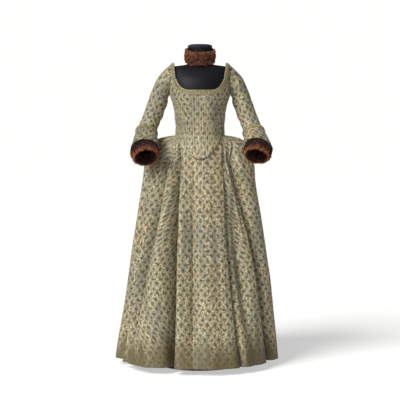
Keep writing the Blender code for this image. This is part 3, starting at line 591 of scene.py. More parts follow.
@dataclass(frozen=True)
class Brocade:
    """Silk brocade, woven with a small flower figure: round blooms inside a net of pale leafy stems.

    The pale silk floats catch the light as satin does, and the taupe ground between them stays dull.
    """

    name: str = "silk_brocade"
    ground: str = "797055"
    ground_gold: str = "75623a"
    pale: str = "bbb497"
    pale_blue: str = "9b9b86"
    leaf: str = "53503e"
    bloom_grey: str = "504b3b"
    bloom_blue: str = "4f5145"
    bloom_gold: str = "5d5339"
    bloom_rust: str = "65513d"
    hem_band: str = "4f4425"
    net_width_mm: float = 32.0
    net_height_mm: float = 43.0
    bloom_mm: float = 7.0
    ring_mm: float = 10.0
    stem_mm: float = 1.7
    leaf_mm: float = 7.5
    weave_mm: float = 1.8
    drift_mm: float = 10.0
    band_start: float = 0.125
    band_end: float = 0.265
    band_strength: float = 0.86
    ground_roughness: float = 0.62
    float_roughness: float = 0.42
    sheen: float = 0.10

    def build(self) -> bpy.types.Material:
        """Make the material.

        Returns:
            The brocade.
        """
        material, tree, shader = start_material(self.name)
        cloth = add_node(tree, "UVMap", {"uv_map": UV_NAME}).outputs["UV"]
        # the figure is drawn unevenly, by several millimetres over 30 mm
        drift = add_node(tree, "TexNoise", {"noise_dimensions": "2D"},
                         {"Vector": cloth, "Scale": 34.0, "Detail": 3.0}).outputs["Color"]
        swing = self.drift_mm / 1000.0
        drift = add_node(tree, "VectorMath", {"operation": "MULTIPLY_ADD"},
                         {0: drift, 1: (2.0 * swing, 2.0 * swing, 0.0), 2: (-swing, -swing, 0.0)}).outputs[0]
        drawn = add_node(tree, "VectorMath", {"operation": "ADD"}, {0: cloth, 1: drift}).outputs[0]
        net, bloom, ring, choice = self.net_and_blooms(tree, drawn)
        # small leaves, under 8 mm apart, half of them dark and half of them pale
        leaned = add_node(tree, "Mapping", {}, {"Vector": drawn, "Rotation": (0.0, 0.0, 0.7),
                                                "Scale": (1.0, 0.55, 1.0)}).outputs[0]
        cells = add_node(tree, "TexVoronoi", {"voronoi_dimensions": "2D"},
                         {"Vector": leaned, "Scale": 1000.0 / self.leaf_mm, "Randomness": 0.9})
        leaf = add_node(tree, "ValToRGB", {"stops": [(0.22, grey(0.9)), (0.36, grey(0))]},
                        {0: cells.outputs["Distance"]}).outputs[0]
        leaf_pick = add_node(tree, "SeparateColor", {}, {0: cells.outputs["Color"]})
        dark_leaf = add_node(tree, "Math", {"operation": "LESS_THAN"},
                             {0: leaf_pick.outputs[0], 1: 0.52}).outputs[0]
        pale_leaf = add_node(tree, "Math", {"operation": "GREATER_THAN"},
                             {0: leaf_pick.outputs[0], 1: 0.56}).outputs[0]
        dark_leaf, pale_leaf = [add_node(tree, "Math", {"operation": "MULTIPLY"}, {0: leaf, 1: pick})
                                .outputs[0] for pick in (dark_leaf, pale_leaf)]
        # broad upright streaks turn the ground gold-olive and the pale figure bluish grey: partly uneven
        # weft, partly painted fold shade and sheen
        streak_and_painted_light = add_node(tree, "Mapping", {}, {"Vector": cloth, "Scale": (20.0, 3.0, 1.0)}).outputs[0]
        streak_and_painted_light = add_node(tree, "TexNoise", {"noise_dimensions": "2D"},
                          {"Vector": streak_and_painted_light, "Scale": 1.0, "Detail": 4.0}).outputs[0]
        ground = add_node(tree, "ValToRGB", {"stops": [(0.42, linear_colour(self.ground)),
                                                       (0.60, linear_colour(self.ground_gold))]},
                          {0: streak_and_painted_light}).outputs[0]
        pale = add_node(tree, "ValToRGB", {"stops": [(0.34, linear_colour(self.pale_blue)),
                                                     (0.48, linear_colour(self.pale))]},
                        {0: streak_and_painted_light}).outputs[0]
        tints = (self.bloom_grey, self.bloom_blue, self.bloom_gold, self.bloom_grey, self.bloom_blue,
                 self.bloom_grey, self.bloom_rust, self.bloom_gold)
        stops = [(index / len(tints), linear_colour(tint)) for index, tint in enumerate(tints)]
        chosen = add_node(tree, "ValToRGB", {"stops": stops}, {0: choice})
        chosen.color_ramp.interpolation = "CONSTANT"
        # towards the hem the figure fades and the colour darkens to a plain gold-olive
        height = add_node(tree, "SeparateXYZ", {}, {0: cloth}).outputs["Y"]
        height = add_node(tree, "Math", {"operation": "MULTIPLY_ADD"},
                          {0: streak_and_painted_light, 1: 0.20, 2: height}).outputs[0]
        plain = add_node(tree, "MapRange", {"interpolation_type": "SMOOTHSTEP"},
                         {"Value": height, "From Min": self.band_end, "From Max": self.band_start,
                          "To Min": 0.0, "To Max": self.band_strength})
        colour = ground
        for share, over in ((dark_leaf, linear_colour(self.leaf)), (pale_leaf, pale), (net, pale),
                            (bloom, chosen.outputs[0]), (ring, pale),
                            (plain.outputs[0], linear_colour(self.hem_band))):
            colour = add_node(tree, "Mix", {"data_type": "RGBA"},
                              {0: share, 6: colour, 7: over}).outputs[2]
        # fine threads of 2 to 3 mm and broad streaks change the tone a little; the streaks are partly the
        # cloth's uneven weft and partly painted fold shade and sheen
        threads = add_node(tree, "TexNoise", {"noise_dimensions": "2D"},
                           {"Vector": cloth, "Scale": 420.0, "Detail": 2.0}).outputs[0]
        tone = add_node(tree, "Math", {"operation": "ADD"}, {0: streak_and_painted_light, 1: threads}).outputs[0]
        shade = add_node(tree, "MapRange", {}, {"Value": tone, "From Min": 0.6, "From Max": 1.4,
                                               "To Min": 0.72, "To Max": 1.16}).outputs[0]
        colour = add_node(tree, "VectorMath", {"operation": "SCALE"},
                          {0: colour, "Scale": shade}).outputs[0]
        floats = add_node(tree, "Math", {"operation": "MAXIMUM"}, {0: net, 1: ring}).outputs[0]
        rough = add_node(tree, "MapRange", {}, {"Value": floats, "To Min": self.ground_roughness,
                                               "To Max": self.float_roughness}).outputs[0]
        # real threads lie 0.3 mm apart; the ribs are drawn wider so that they show
        ribs = add_node(tree, "TexWave", {"bands_direction": "DIAGONAL"},
                        {"Vector": cloth, "Scale": 1000.0 / self.weave_mm / math.tau,
                         "Distortion": 0.6}).outputs[1]
        relief = add_node(tree, "Math", {"operation": "MULTIPLY_ADD"},
                          {0: ribs, 1: 0.25, 2: floats}).outputs[0]
        bump = add_node(tree, "Bump", {}, {"Height": relief, "Strength": 0.5, "Distance": 0.0005})
        set_inputs(tree, shader, {"Base Color": colour, "Roughness": rough, "Normal": bump.outputs[0],
                                  "Sheen Weight": self.sheen, "Sheen Roughness": 0.45,
                                  "Specular IOR Level": 0.40})
        return material

    def net_and_blooms(self, tree: bpy.types.NodeTree, drawn: bpy.types.NodeSocket) -> tuple:
        """Return the figure: a slanting net of stems with a bloom in each of its meshes.

        Args:
            tree: The node tree.
            drawn: The cloth coordinate.

        Returns:
            Masks of the stems, the blooms and their pale rings, and a random number for each bloom.
        """
        scaled = add_node(tree, "VectorMath", {"operation": "MULTIPLY"},
                          {0: drawn, 1: (1000.0 / self.net_width_mm,
                                         1000.0 / self.net_height_mm, 0.0)}).outputs[0]
        parts = add_node(tree, "SeparateXYZ", {}, {0: scaled})
        slants, numbers = [], []
        for operation in ("ADD", "SUBTRACT"):
            line = add_node(tree, "Math", {"operation": operation},
                            {0: parts.outputs["X"], 1: parts.outputs["Y"]}).outputs[0]
            number = add_node(tree, "Math", {"operation": "FLOOR"}, {0: line}).outputs[0]
            numbers.append(number)
            inner = add_node(tree, "Math", {"operation": "SUBTRACT"}, {0: line, 1: number}).outputs[0]
            slants.append(add_node(tree, "Math", {"operation": "SUBTRACT"}, {0: inner, 1: 0.5}).outputs[0])
        across = add_node(tree, "Math", {"operation": "ADD"}, {0: slants[0], 1: slants[1]}).outputs[0]
        along = add_node(tree, "Math", {"operation": "SUBTRACT"}, {0: slants[0], 1: slants[1]}).outputs[0]
        across, along = [add_node(tree, "Math", {"operation": "MULTIPLY"}, {0: value, 1: size / 2.0})
                         .outputs[0]
                         for value, size in ((across, self.net_width_mm), (along, self.net_height_mm))]
        place_in = add_node(tree, "CombineXYZ", {}, {0: across, 1: along}).outputs[0]
        away = add_node(tree, "VectorMath", {"operation": "LENGTH"}, {0: place_in}).outputs["Value"]
        turn = add_node(tree, "Math", {"operation": "ARCTAN2"}, {0: along, 1: across}).outputs[0]
        turns = add_node(tree, "Math", {"operation": "MULTIPLY"}, {0: turn, 1: 6.0}).outputs[0]
        petals = add_node(tree, "Math", {"operation": "COSINE"}, {0: turns}).outputs[0]
        petal_edge = add_node(tree, "Math", {"operation": "MULTIPLY_ADD"},
                              {0: petals, 1: -1.3, 2: away}).outputs[0]
        bloom = add_node(tree, "MapRange", {}, {"Value": petal_edge, "From Min": self.bloom_mm + 0.8,
                                               "From Max": self.bloom_mm - 0.8}).outputs[0]
        ring_away = add_node(tree, "Math", {"operation": "SUBTRACT"},
                             {0: petal_edge, 1: (self.bloom_mm + self.ring_mm) / 2.0 + 0.4}).outputs[0]
        ring_away = add_node(tree, "Math", {"operation": "ABSOLUTE"}, {0: ring_away}).outputs[0]
        ring = add_node(tree, "MapRange", {}, {"Value": ring_away, "From Min": self.stem_mm,
                                              "From Max": self.stem_mm * 0.45, "To Max": 0.85}).outputs[0]
        ring = self.broken(tree, drawn, ring, 150.0, 0.50)
        edges = [add_node(tree, "Math", {"operation": "ABSOLUTE"}, {0: slant}).outputs[0]
                 for slant in slants]
        nearest = add_node(tree, "Math", {"operation": "MAXIMUM"}, {0: edges[0], 1: edges[1]}).outputs[0]
        stem = self.stem_mm / min(self.net_width_mm, self.net_height_mm)
        net = add_node(tree, "MapRange", {}, {"Value": nearest, "From Min": 0.5 - 1.5 * stem,
                                             "From Max": 0.5 - 0.9 * stem, "To Max": 0.9}).outputs[0]
        net = self.broken(tree, drawn, net, 190.0, 0.47)
        pick = add_node(tree, "CombineXYZ", {}, {0: numbers[0], 1: numbers[1]}).outputs[0]
        choice = add_node(tree, "TexWhiteNoise", {"noise_dimensions": "2D"}, {"Vector": pick}).outputs[0]
        return net, bloom, ring, choice

    def broken(self, tree: bpy.types.NodeTree, drawn: bpy.types.NodeSocket, mask: bpy.types.NodeSocket,
               scale: float, level: float) -> bpy.types.NodeSocket:
        """Break a mask up, as leafy stems are broken by the ground between their leaves.

        Args:
            tree: The node tree.
            drawn: The cloth coordinate.
            mask: The mask.
            scale: How fine the breaks are.
            level: How much is kept; less keeps more.

        Returns:
            The broken mask.
        """
        noise = add_node(tree, "TexNoise", {"noise_dimensions": "2D"},
                         {"Vector": drawn, "Scale": scale, "Detail": 1.0}).outputs[0]
        keep = add_node(tree, "MapRange", {}, {"Value": noise, "From Min": level - 0.04,
                                              "From Max": level + 0.06}).outputs[0]
        return add_node(tree, "Math", {"operation": "MULTIPLY"}, {0: mask, 1: keep}).outputs[0]


@dataclass(frozen=True)
class PlainCloth:
    """A plain woven cotton, as a lining or a brocade's reverse shows it: matt, with a fine even grain."""

    name: str
    colour: str
    grain_mm: float = 2.0

    def build(self) -> bpy.types.Material:
        """Make the material.

        Returns:
            The plain cloth.
        """
        material, tree, shader = start_material(self.name)
        cloth = add_node(tree, "UVMap", {"uv_map": UV_NAME}).outputs["UV"]
        grain = add_node(tree, "TexNoise", {"noise_dimensions": "2D"},
                         {"Vector": cloth, "Scale": 1000.0 / self.grain_mm, "Detail": 2.0}).outputs[0]
        base = linear_colour(self.colour)
        dark = tuple(channel * 0.75 for channel in base[:3]) + (1.0,)
        tone = add_node(tree, "ValToRGB", {"stops": [(0.3, dark), (0.7, base)]}, {0: grain})
        bump = add_node(tree, "Bump", {}, {"Height": grain, "Strength": 0.3, "Distance": 0.0003})
        set_inputs(tree, shader, {"Base Color": tone.outputs[0], "Roughness": 0.85,
                                  "Normal": bump.outputs[0]})
        return material


@dataclass(frozen=True)
class GoldBraid:
    """Braid plaited of gold-coloured silk and metal thread, painted dark in its hollows as painted shade and
    light on its cords as a painted highlight.
    """

    name: str = "gold_silk_braid"
    light: str = "c2b68c"
    dark: str = "54492b"
    thread_mm: float = 2.4
    plait_mm: float = 8.0

    def build(self) -> bpy.types.Material:
        """Make the material.

        Returns:
            The braid.
        """
        material, tree, shader = start_material(self.name)
        cloth = add_node(tree, "UVMap", {"uv_map": UV_NAME}).outputs["UV"]
        # the threads' twist and the plaits are painted dark in their hollows, painted shade, and light on
        # their crowns, a painted highlight
        twist = add_node(tree, "TexWave", {"bands_direction": "DIAGONAL"},
                         {"Vector": cloth, "Scale": 1000.0 / self.thread_mm / math.tau, "Distortion": 1.5,
                          "Detail": 2.0}).outputs[1]
        plait_shade_and_highlight = add_node(tree, "TexVoronoi", {"voronoi_dimensions": "2D"},
                         {"Vector": cloth, "Scale": 1000.0 / self.plait_mm,
                          "Randomness": 0.5}).outputs["Distance"]
        plait_shade_and_highlight = add_node(tree, "MapRange", {}, {"Value": plait_shade_and_highlight, "From Min": 0.60, "From Max": 0.22,
                                               "To Min": -0.55, "To Max": 0.25}).outputs[0]
        tone = add_node(tree, "Math", {"operation": "ADD"}, {0: twist, 1: plait_shade_and_highlight}).outputs[0]
        stops = [(0.1, linear_colour(self.dark)), (0.8, linear_colour(self.light))]
        shade = add_node(tree, "ValToRGB", {"stops": stops}, {0: tone})
        bump = add_node(tree, "Bump", {}, {"Height": twist, "Strength": 0.6, "Distance": 0.0006})
        set_inputs(tree, shader, {"Base Color": shade.outputs[0], "Roughness": 0.5, "Metallic": 0.25,
                                  "Normal": bump.outputs[0]})
        return material


@dataclass(frozen=True)
class Fur:
    """Dyed fur with dark guard hairs over rust-brown underwool: dark at the roots, lighter at the tips, and
    painted lighter on the side of each band where the light falls, a painted highlight.
    """

    name: str = "brown_fur"
    root: str = "1c0906"
    dark: str = "2e110b"
    middle: str = "7c3b20"
    # the lightest hair colour, reached mostly where the highlight is painted
    light: str = "bd7442"
    patch_mm: float = 17.0

    def build(self) -> bpy.types.Material:
        """Make the material.

        The cloth coordinate's u is a painted highlight share, set by the angle round the band's section, and
        v runs from root to tip.

        Returns:
            The fur.
        """
        material, tree, shader = start_material(self.name)
        cloth = add_node(tree, "UVMap", {"uv_map": UV_NAME}).outputs["UV"]
        parts = add_node(tree, "SeparateXYZ", {}, {0: cloth})
        spot = add_node(tree, "TexCoord").outputs["Object"]
        patch = add_node(tree, "TexNoise", {},
                         {"Vector": spot, "Scale": 1000.0 / self.patch_mm, "Detail": 3.0,
                          "Roughness": 0.6}).outputs[0]
        # u lifts the tone where the highlight is painted; the patches vary it at random
        tone = add_node(tree, "Math", {"operation": "MULTIPLY_ADD"},
                        {0: parts.outputs["X"], 1: 0.62, 2: -0.22}).outputs[0]
        tone = add_node(tree, "Math", {"operation": "ADD"}, {0: tone, 1: patch}).outputs[0]
        stops = [(0.41, linear_colour(self.dark)), (0.54, linear_colour(self.middle)),
                 (0.76, linear_colour(self.light))]
        hair = add_node(tree, "ValToRGB", {"stops": stops}, {0: tone}).outputs[0]
        depth = add_node(tree, "MapRange", {},
                         {"Value": parts.outputs["Y"], "From Min": 0.75, "From Max": 0.05, "To Min": 0.0,
                          "To Max": 0.92}).outputs[0]
        mixed = add_node(tree, "Mix", {"data_type": "RGBA"},
                         {0: depth, 6: hair, 7: linear_colour(self.root)}).outputs[2]
        set_inputs(tree, shader, {"Base Color": mixed, "Roughness": 0.55, "Specular IOR Level": 0.3,
                                  "Sheen Weight": 0.12})
        return material


@dataclass(frozen=True)
class FormJersey:
    """Black cotton jersey stretched smooth over a padded form: near black, with a soft dull gloss."""

    name: str
    colour: str
    tint: str
    roughness: float = 0.5

    def build(self) -> bpy.types.Material:
        """Make the material.

        Returns:
            The jersey.
        """
        material, tree, shader = start_material(self.name)
        spot = add_node(tree, "TexCoord").outputs["Object"]
        cloud = add_node(tree, "TexNoise", {}, {"Vector": spot, "Scale": 9.0, "Detail": 2.0}).outputs[0]
        stops = [(0.35, linear_colour(self.colour)), (0.7, linear_colour(self.tint))]
        tone = add_node(tree, "ValToRGB", {"stops": stops}, {0: cloud})
        # knit loops of 1.2 mm, drawn a little coarse so that they show
        knit = add_node(tree, "TexNoise", {}, {"Vector": spot, "Scale": 830.0, "Detail": 1.0}).outputs[0]
        bump = add_node(tree, "Bump", {}, {"Height": knit, "Strength": 0.25, "Distance": 0.0002})
        set_inputs(tree, shader, {"Base Color": tone.outputs[0], "Roughness": self.roughness,
                                  "Specular IOR Level": 0.16, "Normal": bump.outputs[0]})
        return material


@dataclass(frozen=True)
class PaintedSteel:
    """Steel with a baked black paint: an even satin gloss with a slight orange-peel ripple."""

    name: str = "painted_steel"
    colour: str = "1b1b1d"

    def build(self) -> bpy.types.Material:
        """Make the material.

        Returns:
            The painted steel.
        """
        material, tree, shader = start_material(self.name)
        spot = add_node(tree, "TexCoord").outputs["Object"]
        peel = add_node(tree, "TexNoise", {}, {"Vector": spot, "Scale": 260.0, "Detail": 2.0}).outputs[0]
        rough = add_node(tree, "MapRange", {}, {"Value": peel, "To Min": 0.3, "To Max": 0.45}).outputs[0]
        bump = add_node(tree, "Bump", {}, {"Height": peel, "Strength": 0.15, "Distance": 0.0002})
        set_inputs(tree, shader, {"Base Color": linear_colour(self.colour), "Roughness": rough,
                                  "Normal": bump.outputs[0]})
        return material


@dataclass(frozen=True)
class StudioPaper:
    """White background paper on a light table: matt, and lit from below so that shadows stay pale."""

    name: str = "studio_paper"
    colour: str = "bcbcbb"
    lit_from_below: float = 0.5

    def build(self) -> bpy.types.Material:
        """Make the material.

        Returns:
            The paper.
        """
        material, tree, shader = start_material(self.name)
        spot = add_node(tree, "TexCoord").outputs["Object"]
        tooth = add_node(tree, "TexNoise", {}, {"Vector": spot, "Scale": 400.0, "Detail": 1.0}).outputs[0]
        bump = add_node(tree, "Bump", {}, {"Height": tooth, "Strength": 0.05, "Distance": 0.0002})
        set_inputs(tree, shader, {"Base Color": linear_colour(self.colour), "Emission Color": grey(1.0),
                                  "Emission Strength": self.lit_from_below, "Roughness": 0.9,
                                  "Normal": bump.outputs[0]})
        return material


# Tables of form


class FigureRow(NamedTuple):
    """A level section of the form."""

    height: float
    half_width: float
    front: float
    back: float
    squareness: float


FIGURE = (
    FigureRow(0.800, 0.1500, 0.0900, 0.1100, 2.20),
    FigureRow(0.870, 0.1580, 0.0950, 0.1180, 2.20),
    FigureRow(0.950, 0.1400, 0.0930, 0.1050, 2.10),
    FigureRow(1.000, 0.1170, 0.0900, 0.0880, 2.00),
    FigureRow(1.034, 0.1066, 0.0941, 0.0811, 2.00),
    FigureRow(1.050, 0.1060, 0.0940, 0.0806, 2.00),
    FigureRow(1.090, 0.1080, 0.0990, 0.0800, 2.05),
    FigureRow(1.130, 0.1110, 0.1060, 0.0830, 2.10),
    FigureRow(1.160, 0.1167, 0.1130, 0.0870, 2.15),
    FigureRow(1.185, 0.1230, 0.1180, 0.0910, 2.20),
    FigureRow(1.209, 0.1315, 0.1200, 0.0950, 2.25),
    FigureRow(1.235, 0.1365, 0.1180, 0.0970, 2.25),
    FigureRow(1.260, 0.1395, 0.1130, 0.0970, 2.20),
    FigureRow(1.286, 0.1430, 0.1020, 0.0940, 2.15),
    FigureRow(1.305, 0.1470, 0.0880, 0.0880, 2.05),
    FigureRow(1.322, 0.1490, 0.0720, 0.0770, 2.00),
    FigureRow(1.335, 0.1450, 0.0560, 0.0630, 2.00),
    FigureRow(1.341, 0.1190, 0.0490, 0.0540, 2.00),
    FigureRow(1.3455, 0.0850, 0.0460, 0.0510, 2.00),
    FigureRow(1.349, 0.0640, 0.0450, 0.0500, 2.00),
    FigureRow(1.353, 0.0560, 0.0460, 0.0500, 2.00),
    FigureRow(1.362, 0.0545, 0.0490, 0.0525, 2.00),
    FigureRow(1.378, 0.0545, 0.0535, 0.0545, 2.00),
    FigureRow(1.424, 0.0545, 0.0545, 0.0545, 2.00),
)


class SkirtRow(NamedTuple):
    """A level section of the skirt before its folds are laid in."""

    height: float
    left: float
    right: float
    front: float
    back: float
    middle: float
    squareness: float


SKIRT = (
    SkirtRow(0.030, 0.3740, 0.3470, 0.3620, 0.4050, 0.050, 2.40),
    SkirtRow(0.108, 0.3640, 0.3410, 0.3350, 0.3960, 0.048, 2.40),
    SkirtRow(0.252, 0.3400, 0.3270, 0.2950, 0.3780, 0.042, 2.40),
    SkirtRow(0.396, 0.3200, 0.3130, 0.2620, 0.3550, 0.035, 2.40),
    SkirtRow(0.468, 0.3110, 0.3020, 0.2480, 0.3420, 0.030, 2.40),
    SkirtRow(0.576, 0.2970, 0.2880, 0.2250, 0.3220, 0.025, 2.35),
    SkirtRow(0.684, 0.2810, 0.2740, 0.2020, 0.2980, 0.020, 2.30),
    SkirtRow(0.756, 0.2710, 0.2620, 0.1850, 0.2800, 0.015, 2.30),
    SkirtRow(0.830, 0.2600, 0.2500, 0.1650, 0.2580, 0.010, 2.25),
    SkirtRow(0.900, 0.2510, 0.2420, 0.1420, 0.2320, 0.005, 2.20),
    SkirtRow(0.950, 0.2400, 0.2330, 0.1240, 0.2050, 0.002, 2.15),
    SkirtRow(0.990, 0.2190, 0.2130, 0.1090, 0.1750, 0.000, 2.10),
    SkirtRow(1.018, 0.1850, 0.1820, 0.1005, 0.1400, 0.000, 2.05),
    SkirtRow(1.028, 0.1480, 0.1480, 0.0975, 0.1100, 0.000, 2.00),
    SkirtRow(1.034, 0.1085, 0.1085, 0.0960, 0.0830, 0.000, 2.00),
)


class FoldLine(NamedTuple):
    """Where a fold runs: its angle from the front, in degrees, at four heights."""

    waist: float
    hip: float
    knee: float
    hem: float


class Fold(NamedTuple):
    """A fold of the skirt: its line, how far it moves the cloth at three heights, and how wide it is."""

    line: FoldLine
    move_hip: float
    move_knee: float
    move_hem: float
    half_width: float


class Crease(NamedTuple):
    """A crease sharper than a fold, between two heights: its line, its depth and how wide it opens.

    With a lean above 0 its left side slopes gently and its right side is steep, and below 0 the other way.
    """

    line: FoldLine
    deep_hip: float
    deep_knee: float
    deep_hem: float
    half_width: float
    top: float
    bottom: float
    lean: float = 0.0


FOLD_HEIGHTS = (0.030, 0.500, 0.900, 1.020)
LEFT_MIDDLE = FoldLine(-16.0, -11.0, -8.0, -5.0)
LEFT_SEAM = FoldLine(-50.0, -36.5, -28.6, -20.8)
LEFT_VALLEY = FoldLine(-71.0, -54.0, -57.0, -59.0)
LEFT_SIDE = FoldLine(-86.0, -81.0, -76.0, -68.0)
LEFT_REAR = FoldLine(-104.0, -102.0, -98.0, -96.0)
LEFT_BACK = FoldLine(-122.0, -120.0, -116.0, -112.0)
RIGHT_SEAM = FoldLine(52.0, 41.5, 32.0, 30.0)
RIGHT_HOLLOW = FoldLine(60.0, 49.0, 44.5, 42.0)
RIGHT_VALLEY = FoldLine(72.0, 59.5, 65.0, 61.5)
RIGHT_REAR = FoldLine(94.0, 93.0, 91.0, 91.0)
RIGHT_BACK = FoldLine(117.0, 116.0, 112.0, 109.0)
FOLDS = (
    Fold(LEFT_SEAM, -0.006, -0.018, -0.026, 0.019),
    Fold(LEFT_MIDDLE, 0.000, -0.004, -0.006, 0.022),
    Fold(FoldLine(-60.0, -45.5, -42.0, -37.0), 0.003, 0.010, 0.012, 0.030),
    Fold(LEFT_VALLEY, -0.003, -0.024, -0.012, 0.030),
    Fold(FoldLine(-79.0, -67.0, -66.0, -64.0), 0.000, 0.008, 0.010, 0.024),
    Fold(LEFT_SIDE, -0.014, -0.024, -0.036, 0.022),
    Fold(FoldLine(-93.0, -90.0, -87.0, -80.0), 0.000, 0.006, 0.012, 0.030),
    Fold(LEFT_REAR, -0.003, -0.012, -0.020, 0.024),
    Fold(LEFT_BACK, -0.004, -0.014, -0.022, 0.028),
    Fold(RIGHT_SEAM, -0.003, -0.008, -0.014, 0.016),
    Fold(FoldLine(8.0, 7.0, 5.0, 9.0), 0.000, 0.003, 0.006, 0.030),
    Fold(RIGHT_HOLLOW, -0.003, -0.032, -0.014, 0.040),
    Fold(FoldLine(66.0, 55.0, 54.0, 52.0), -0.004, -0.004, -0.008, 0.018),
    Fold(RIGHT_VALLEY, -0.006, -0.022, -0.028, 0.022),
    Fold(FoldLine(80.0, 74.0, 77.0, 74.0), 0.002, 0.008, 0.012, 0.028),
    Fold(RIGHT_REAR, -0.003, -0.013, -0.022, 0.024),
    Fold(RIGHT_BACK, -0.004, -0.012, -0.024, 0.028),
)
CREASES = (
    Crease(LEFT_SEAM, 0.018, 0.044, 0.040, 0.0170, 0.985, -0.10, 0.66),
    Crease(LEFT_SEAM, 0.013, 0.092, 0.044, 0.0075, 0.950, -0.10, 0.35),
    Crease(FoldLine(-27.0, -20.0, -15.0, -11.0), 0.004, 0.006, 0.005, 0.0120, 0.930, 0.10, 0.20),
    Crease(LEFT_MIDDLE, 0.009, 0.027, 0.024, 0.0170, 0.900, 0.00, 0.10),
    Crease(LEFT_VALLEY, 0.017, 0.056, 0.026, 0.0240, 0.955, 0.00, 0.60),
    Crease(LEFT_VALLEY, 0.008, 0.072, 0.012, 0.0100, 0.945, 0.06, 0.40),
    Crease(LEFT_SIDE, 0.044, 0.054, 0.052, 0.0090, 0.950, -0.10, 0.35),
    Crease(FoldLine(-64.0, -49.0, -48.0, -44.0), 0.010, 0.008, 0.004, 0.0090, 0.990, 0.40, 0.30),
    Crease(LEFT_REAR, 0.022, 0.044, 0.040, 0.0085, 0.960, -0.10, 0.40),
    Crease(LEFT_BACK, 0.011, 0.017, 0.016, 0.0110, 0.950, 0.05, 0.30),
    Crease(FoldLine(-112.0, -111.0, -107.0, -104.0), 0.004, 0.006, 0.006, 0.0100, 0.900, 0.20, 0.00),
    Crease(RIGHT_SEAM, 0.011, 0.022, 0.016, 0.0110, 0.950, -0.10, -0.55),
    Crease(RIGHT_HOLLOW, 0.006, 0.020, 0.012, 0.0260, 0.940, 0.06, 0.35),
    Crease(FoldLine(66.0, 54.0, 54.0, 52.0), 0.014, 0.006, 0.003, 0.0070, 0.950, 0.50, 0.20),
    Crease(RIGHT_VALLEY, 0.016, 0.044, 0.036, 0.0150, 0.960, -0.10, 0.60),
    Crease(RIGHT_VALLEY, 0.033, 0.086, 0.046, 0.0075, 0.945, -0.10, 0.35),
    Crease(FoldLine(30.0, 23.0, 19.0, 19.0), 0.003, 0.006, 0.006, 0.0140, 0.900, 0.05, 0.10),
    Crease(FoldLine(42.0, 33.0, 26.0, 25.0), 0.004, 0.005, 0.004, 0.0120, 0.940, 0.10, -0.30),
    Crease(RIGHT_REAR, 0.022, 0.040, 0.036, 0.0085, 0.960, -0.10, -0.40),
    Crease(FoldLine(105.0, 104.0, 101.0, 99.0), 0.004, 0.007, 0.006, 0.0100, 0.880, 0.15, 0.00),
    Crease(RIGHT_BACK, 0.010, 0.016, 0.018, 0.0120, 0.940, 0.00, -0.30),
)


class Gather(NamedTuple):
    """A short gather at the hip: its angle at the waist, its depth and width and where it fades."""

    waist: float
    deep: float
    half_width: float
    bottom: float


GATHERS = tuple(Gather(*row) for row in (
    (-52.0, 0.0045, 0.0050, 0.900), (-56.0, 0.0030, 0.0040, 0.930), (-61.0, 0.0065, 0.0050, 0.850),
    (-66.0, 0.0045, 0.0045, 0.900), (-73.0, 0.0070, 0.0055, 0.830), (-79.0, 0.0045, 0.0045, 0.890),
    (-88.0, 0.0065, 0.0060, 0.840), (-96.0, 0.0050, 0.0055, 0.880), (-106.0, 0.0060, 0.0060, 0.820),
    (-113.0, 0.0045, 0.0050, 0.880), (-119.0, 0.0060, 0.0055, 0.850),
    (53.0, 0.0040, 0.0045, 0.910), (57.0, 0.0060, 0.0055, 0.870), (62.0, 0.0070, 0.0050, 0.840),
    (67.0, 0.0045, 0.0045, 0.900), (73.0, 0.0065, 0.0055, 0.850), (80.0, 0.0050, 0.0050, 0.890),
    (87.0, 0.0060, 0.0055, 0.830), (97.0, 0.0045, 0.0050, 0.880), (104.0, 0.0060, 0.0060, 0.850),
    (111.0, 0.0050, 0.0050, 0.880), (119.0, 0.0065, 0.0055, 0.840),
))


class SackRow(NamedTuple):
    """The pleated back at a height."""

    height: float
    half_width: float
    fall: float
    pleat: float


SACK = (
    SackRow(0.030, 0.280, 0.455, 0.0280),
    SackRow(0.250, 0.232, 0.420, 0.0240),
    SackRow(0.500, 0.188, 0.366, 0.0190),
    SackRow(0.750, 0.150, 0.297, 0.0150),
    SackRow(0.900, 0.122, 0.237, 0.0130),
    SackRow(0.950, 0.110, 0.216, 0.0125),
    SackRow(1.034, 0.090, 0.180, 0.0115),
    SackRow(1.150, 0.080, 0.140, 0.0100),
    SackRow(1.250, 0.076, 0.113, 0.0085),
    SackRow(1.318, 0.074, 0.096, 0.0075),
)


class PleatEdge(NamedTuple):
    """A sharp edge in the pleated back: its share of the half width, its depth and how wide it is."""

    share: float
    deep: float
    half_width: float


PLEAT_EDGES = (
    PleatEdge(0.0, 0.0075, 0.050),
    PleatEdge(-0.27, 0.0035, 0.030),
    PleatEdge(0.27, 0.0035, 0.030),
    PleatEdge(-0.74, 0.0030, 0.030),
    PleatEdge(0.74, 0.0030, 0.030),
)


class BackFold(NamedTuple):
    """A soft fold low in the pleated back: its share of the half width, its depth and where it starts."""

    share: float
    deep: float
    top: float


BACK_FOLDS = (
    BackFold(-0.42, 0.006, 0.75),
    BackFold(0.36, 0.005, 0.66),
    BackFold(-0.12, 0.004, 0.55),
    BackFold(0.62, 0.005, 0.50),
    BackFold(-0.66, 0.004, 0.60),
)


class SeamRow(NamedTuple):
    """The slanting front seam of the bodice at a height, in degrees from the middle of the front."""

    height: float
    angle: float


FRONT_SEAM = tuple(SeamRow(*row) for row in (
    (0.930, 14.0), (0.950, 18.0), (0.989, 22.5), (1.034, 31.0), (1.068, 35.0),
    (1.110, 45.0), (1.148, 59.0), (1.190, 70.0), (1.225, 76.0), (1.300, 78.0),
))


class ArmSection(NamedTuple):
    """A section of a sleeve: lean lifts its outer side, pitch tips it forward, both in degrees."""

    out: float
    depth: float
    height: float
    lean: float
    pitch: float
    half_width: float
    half_depth: float


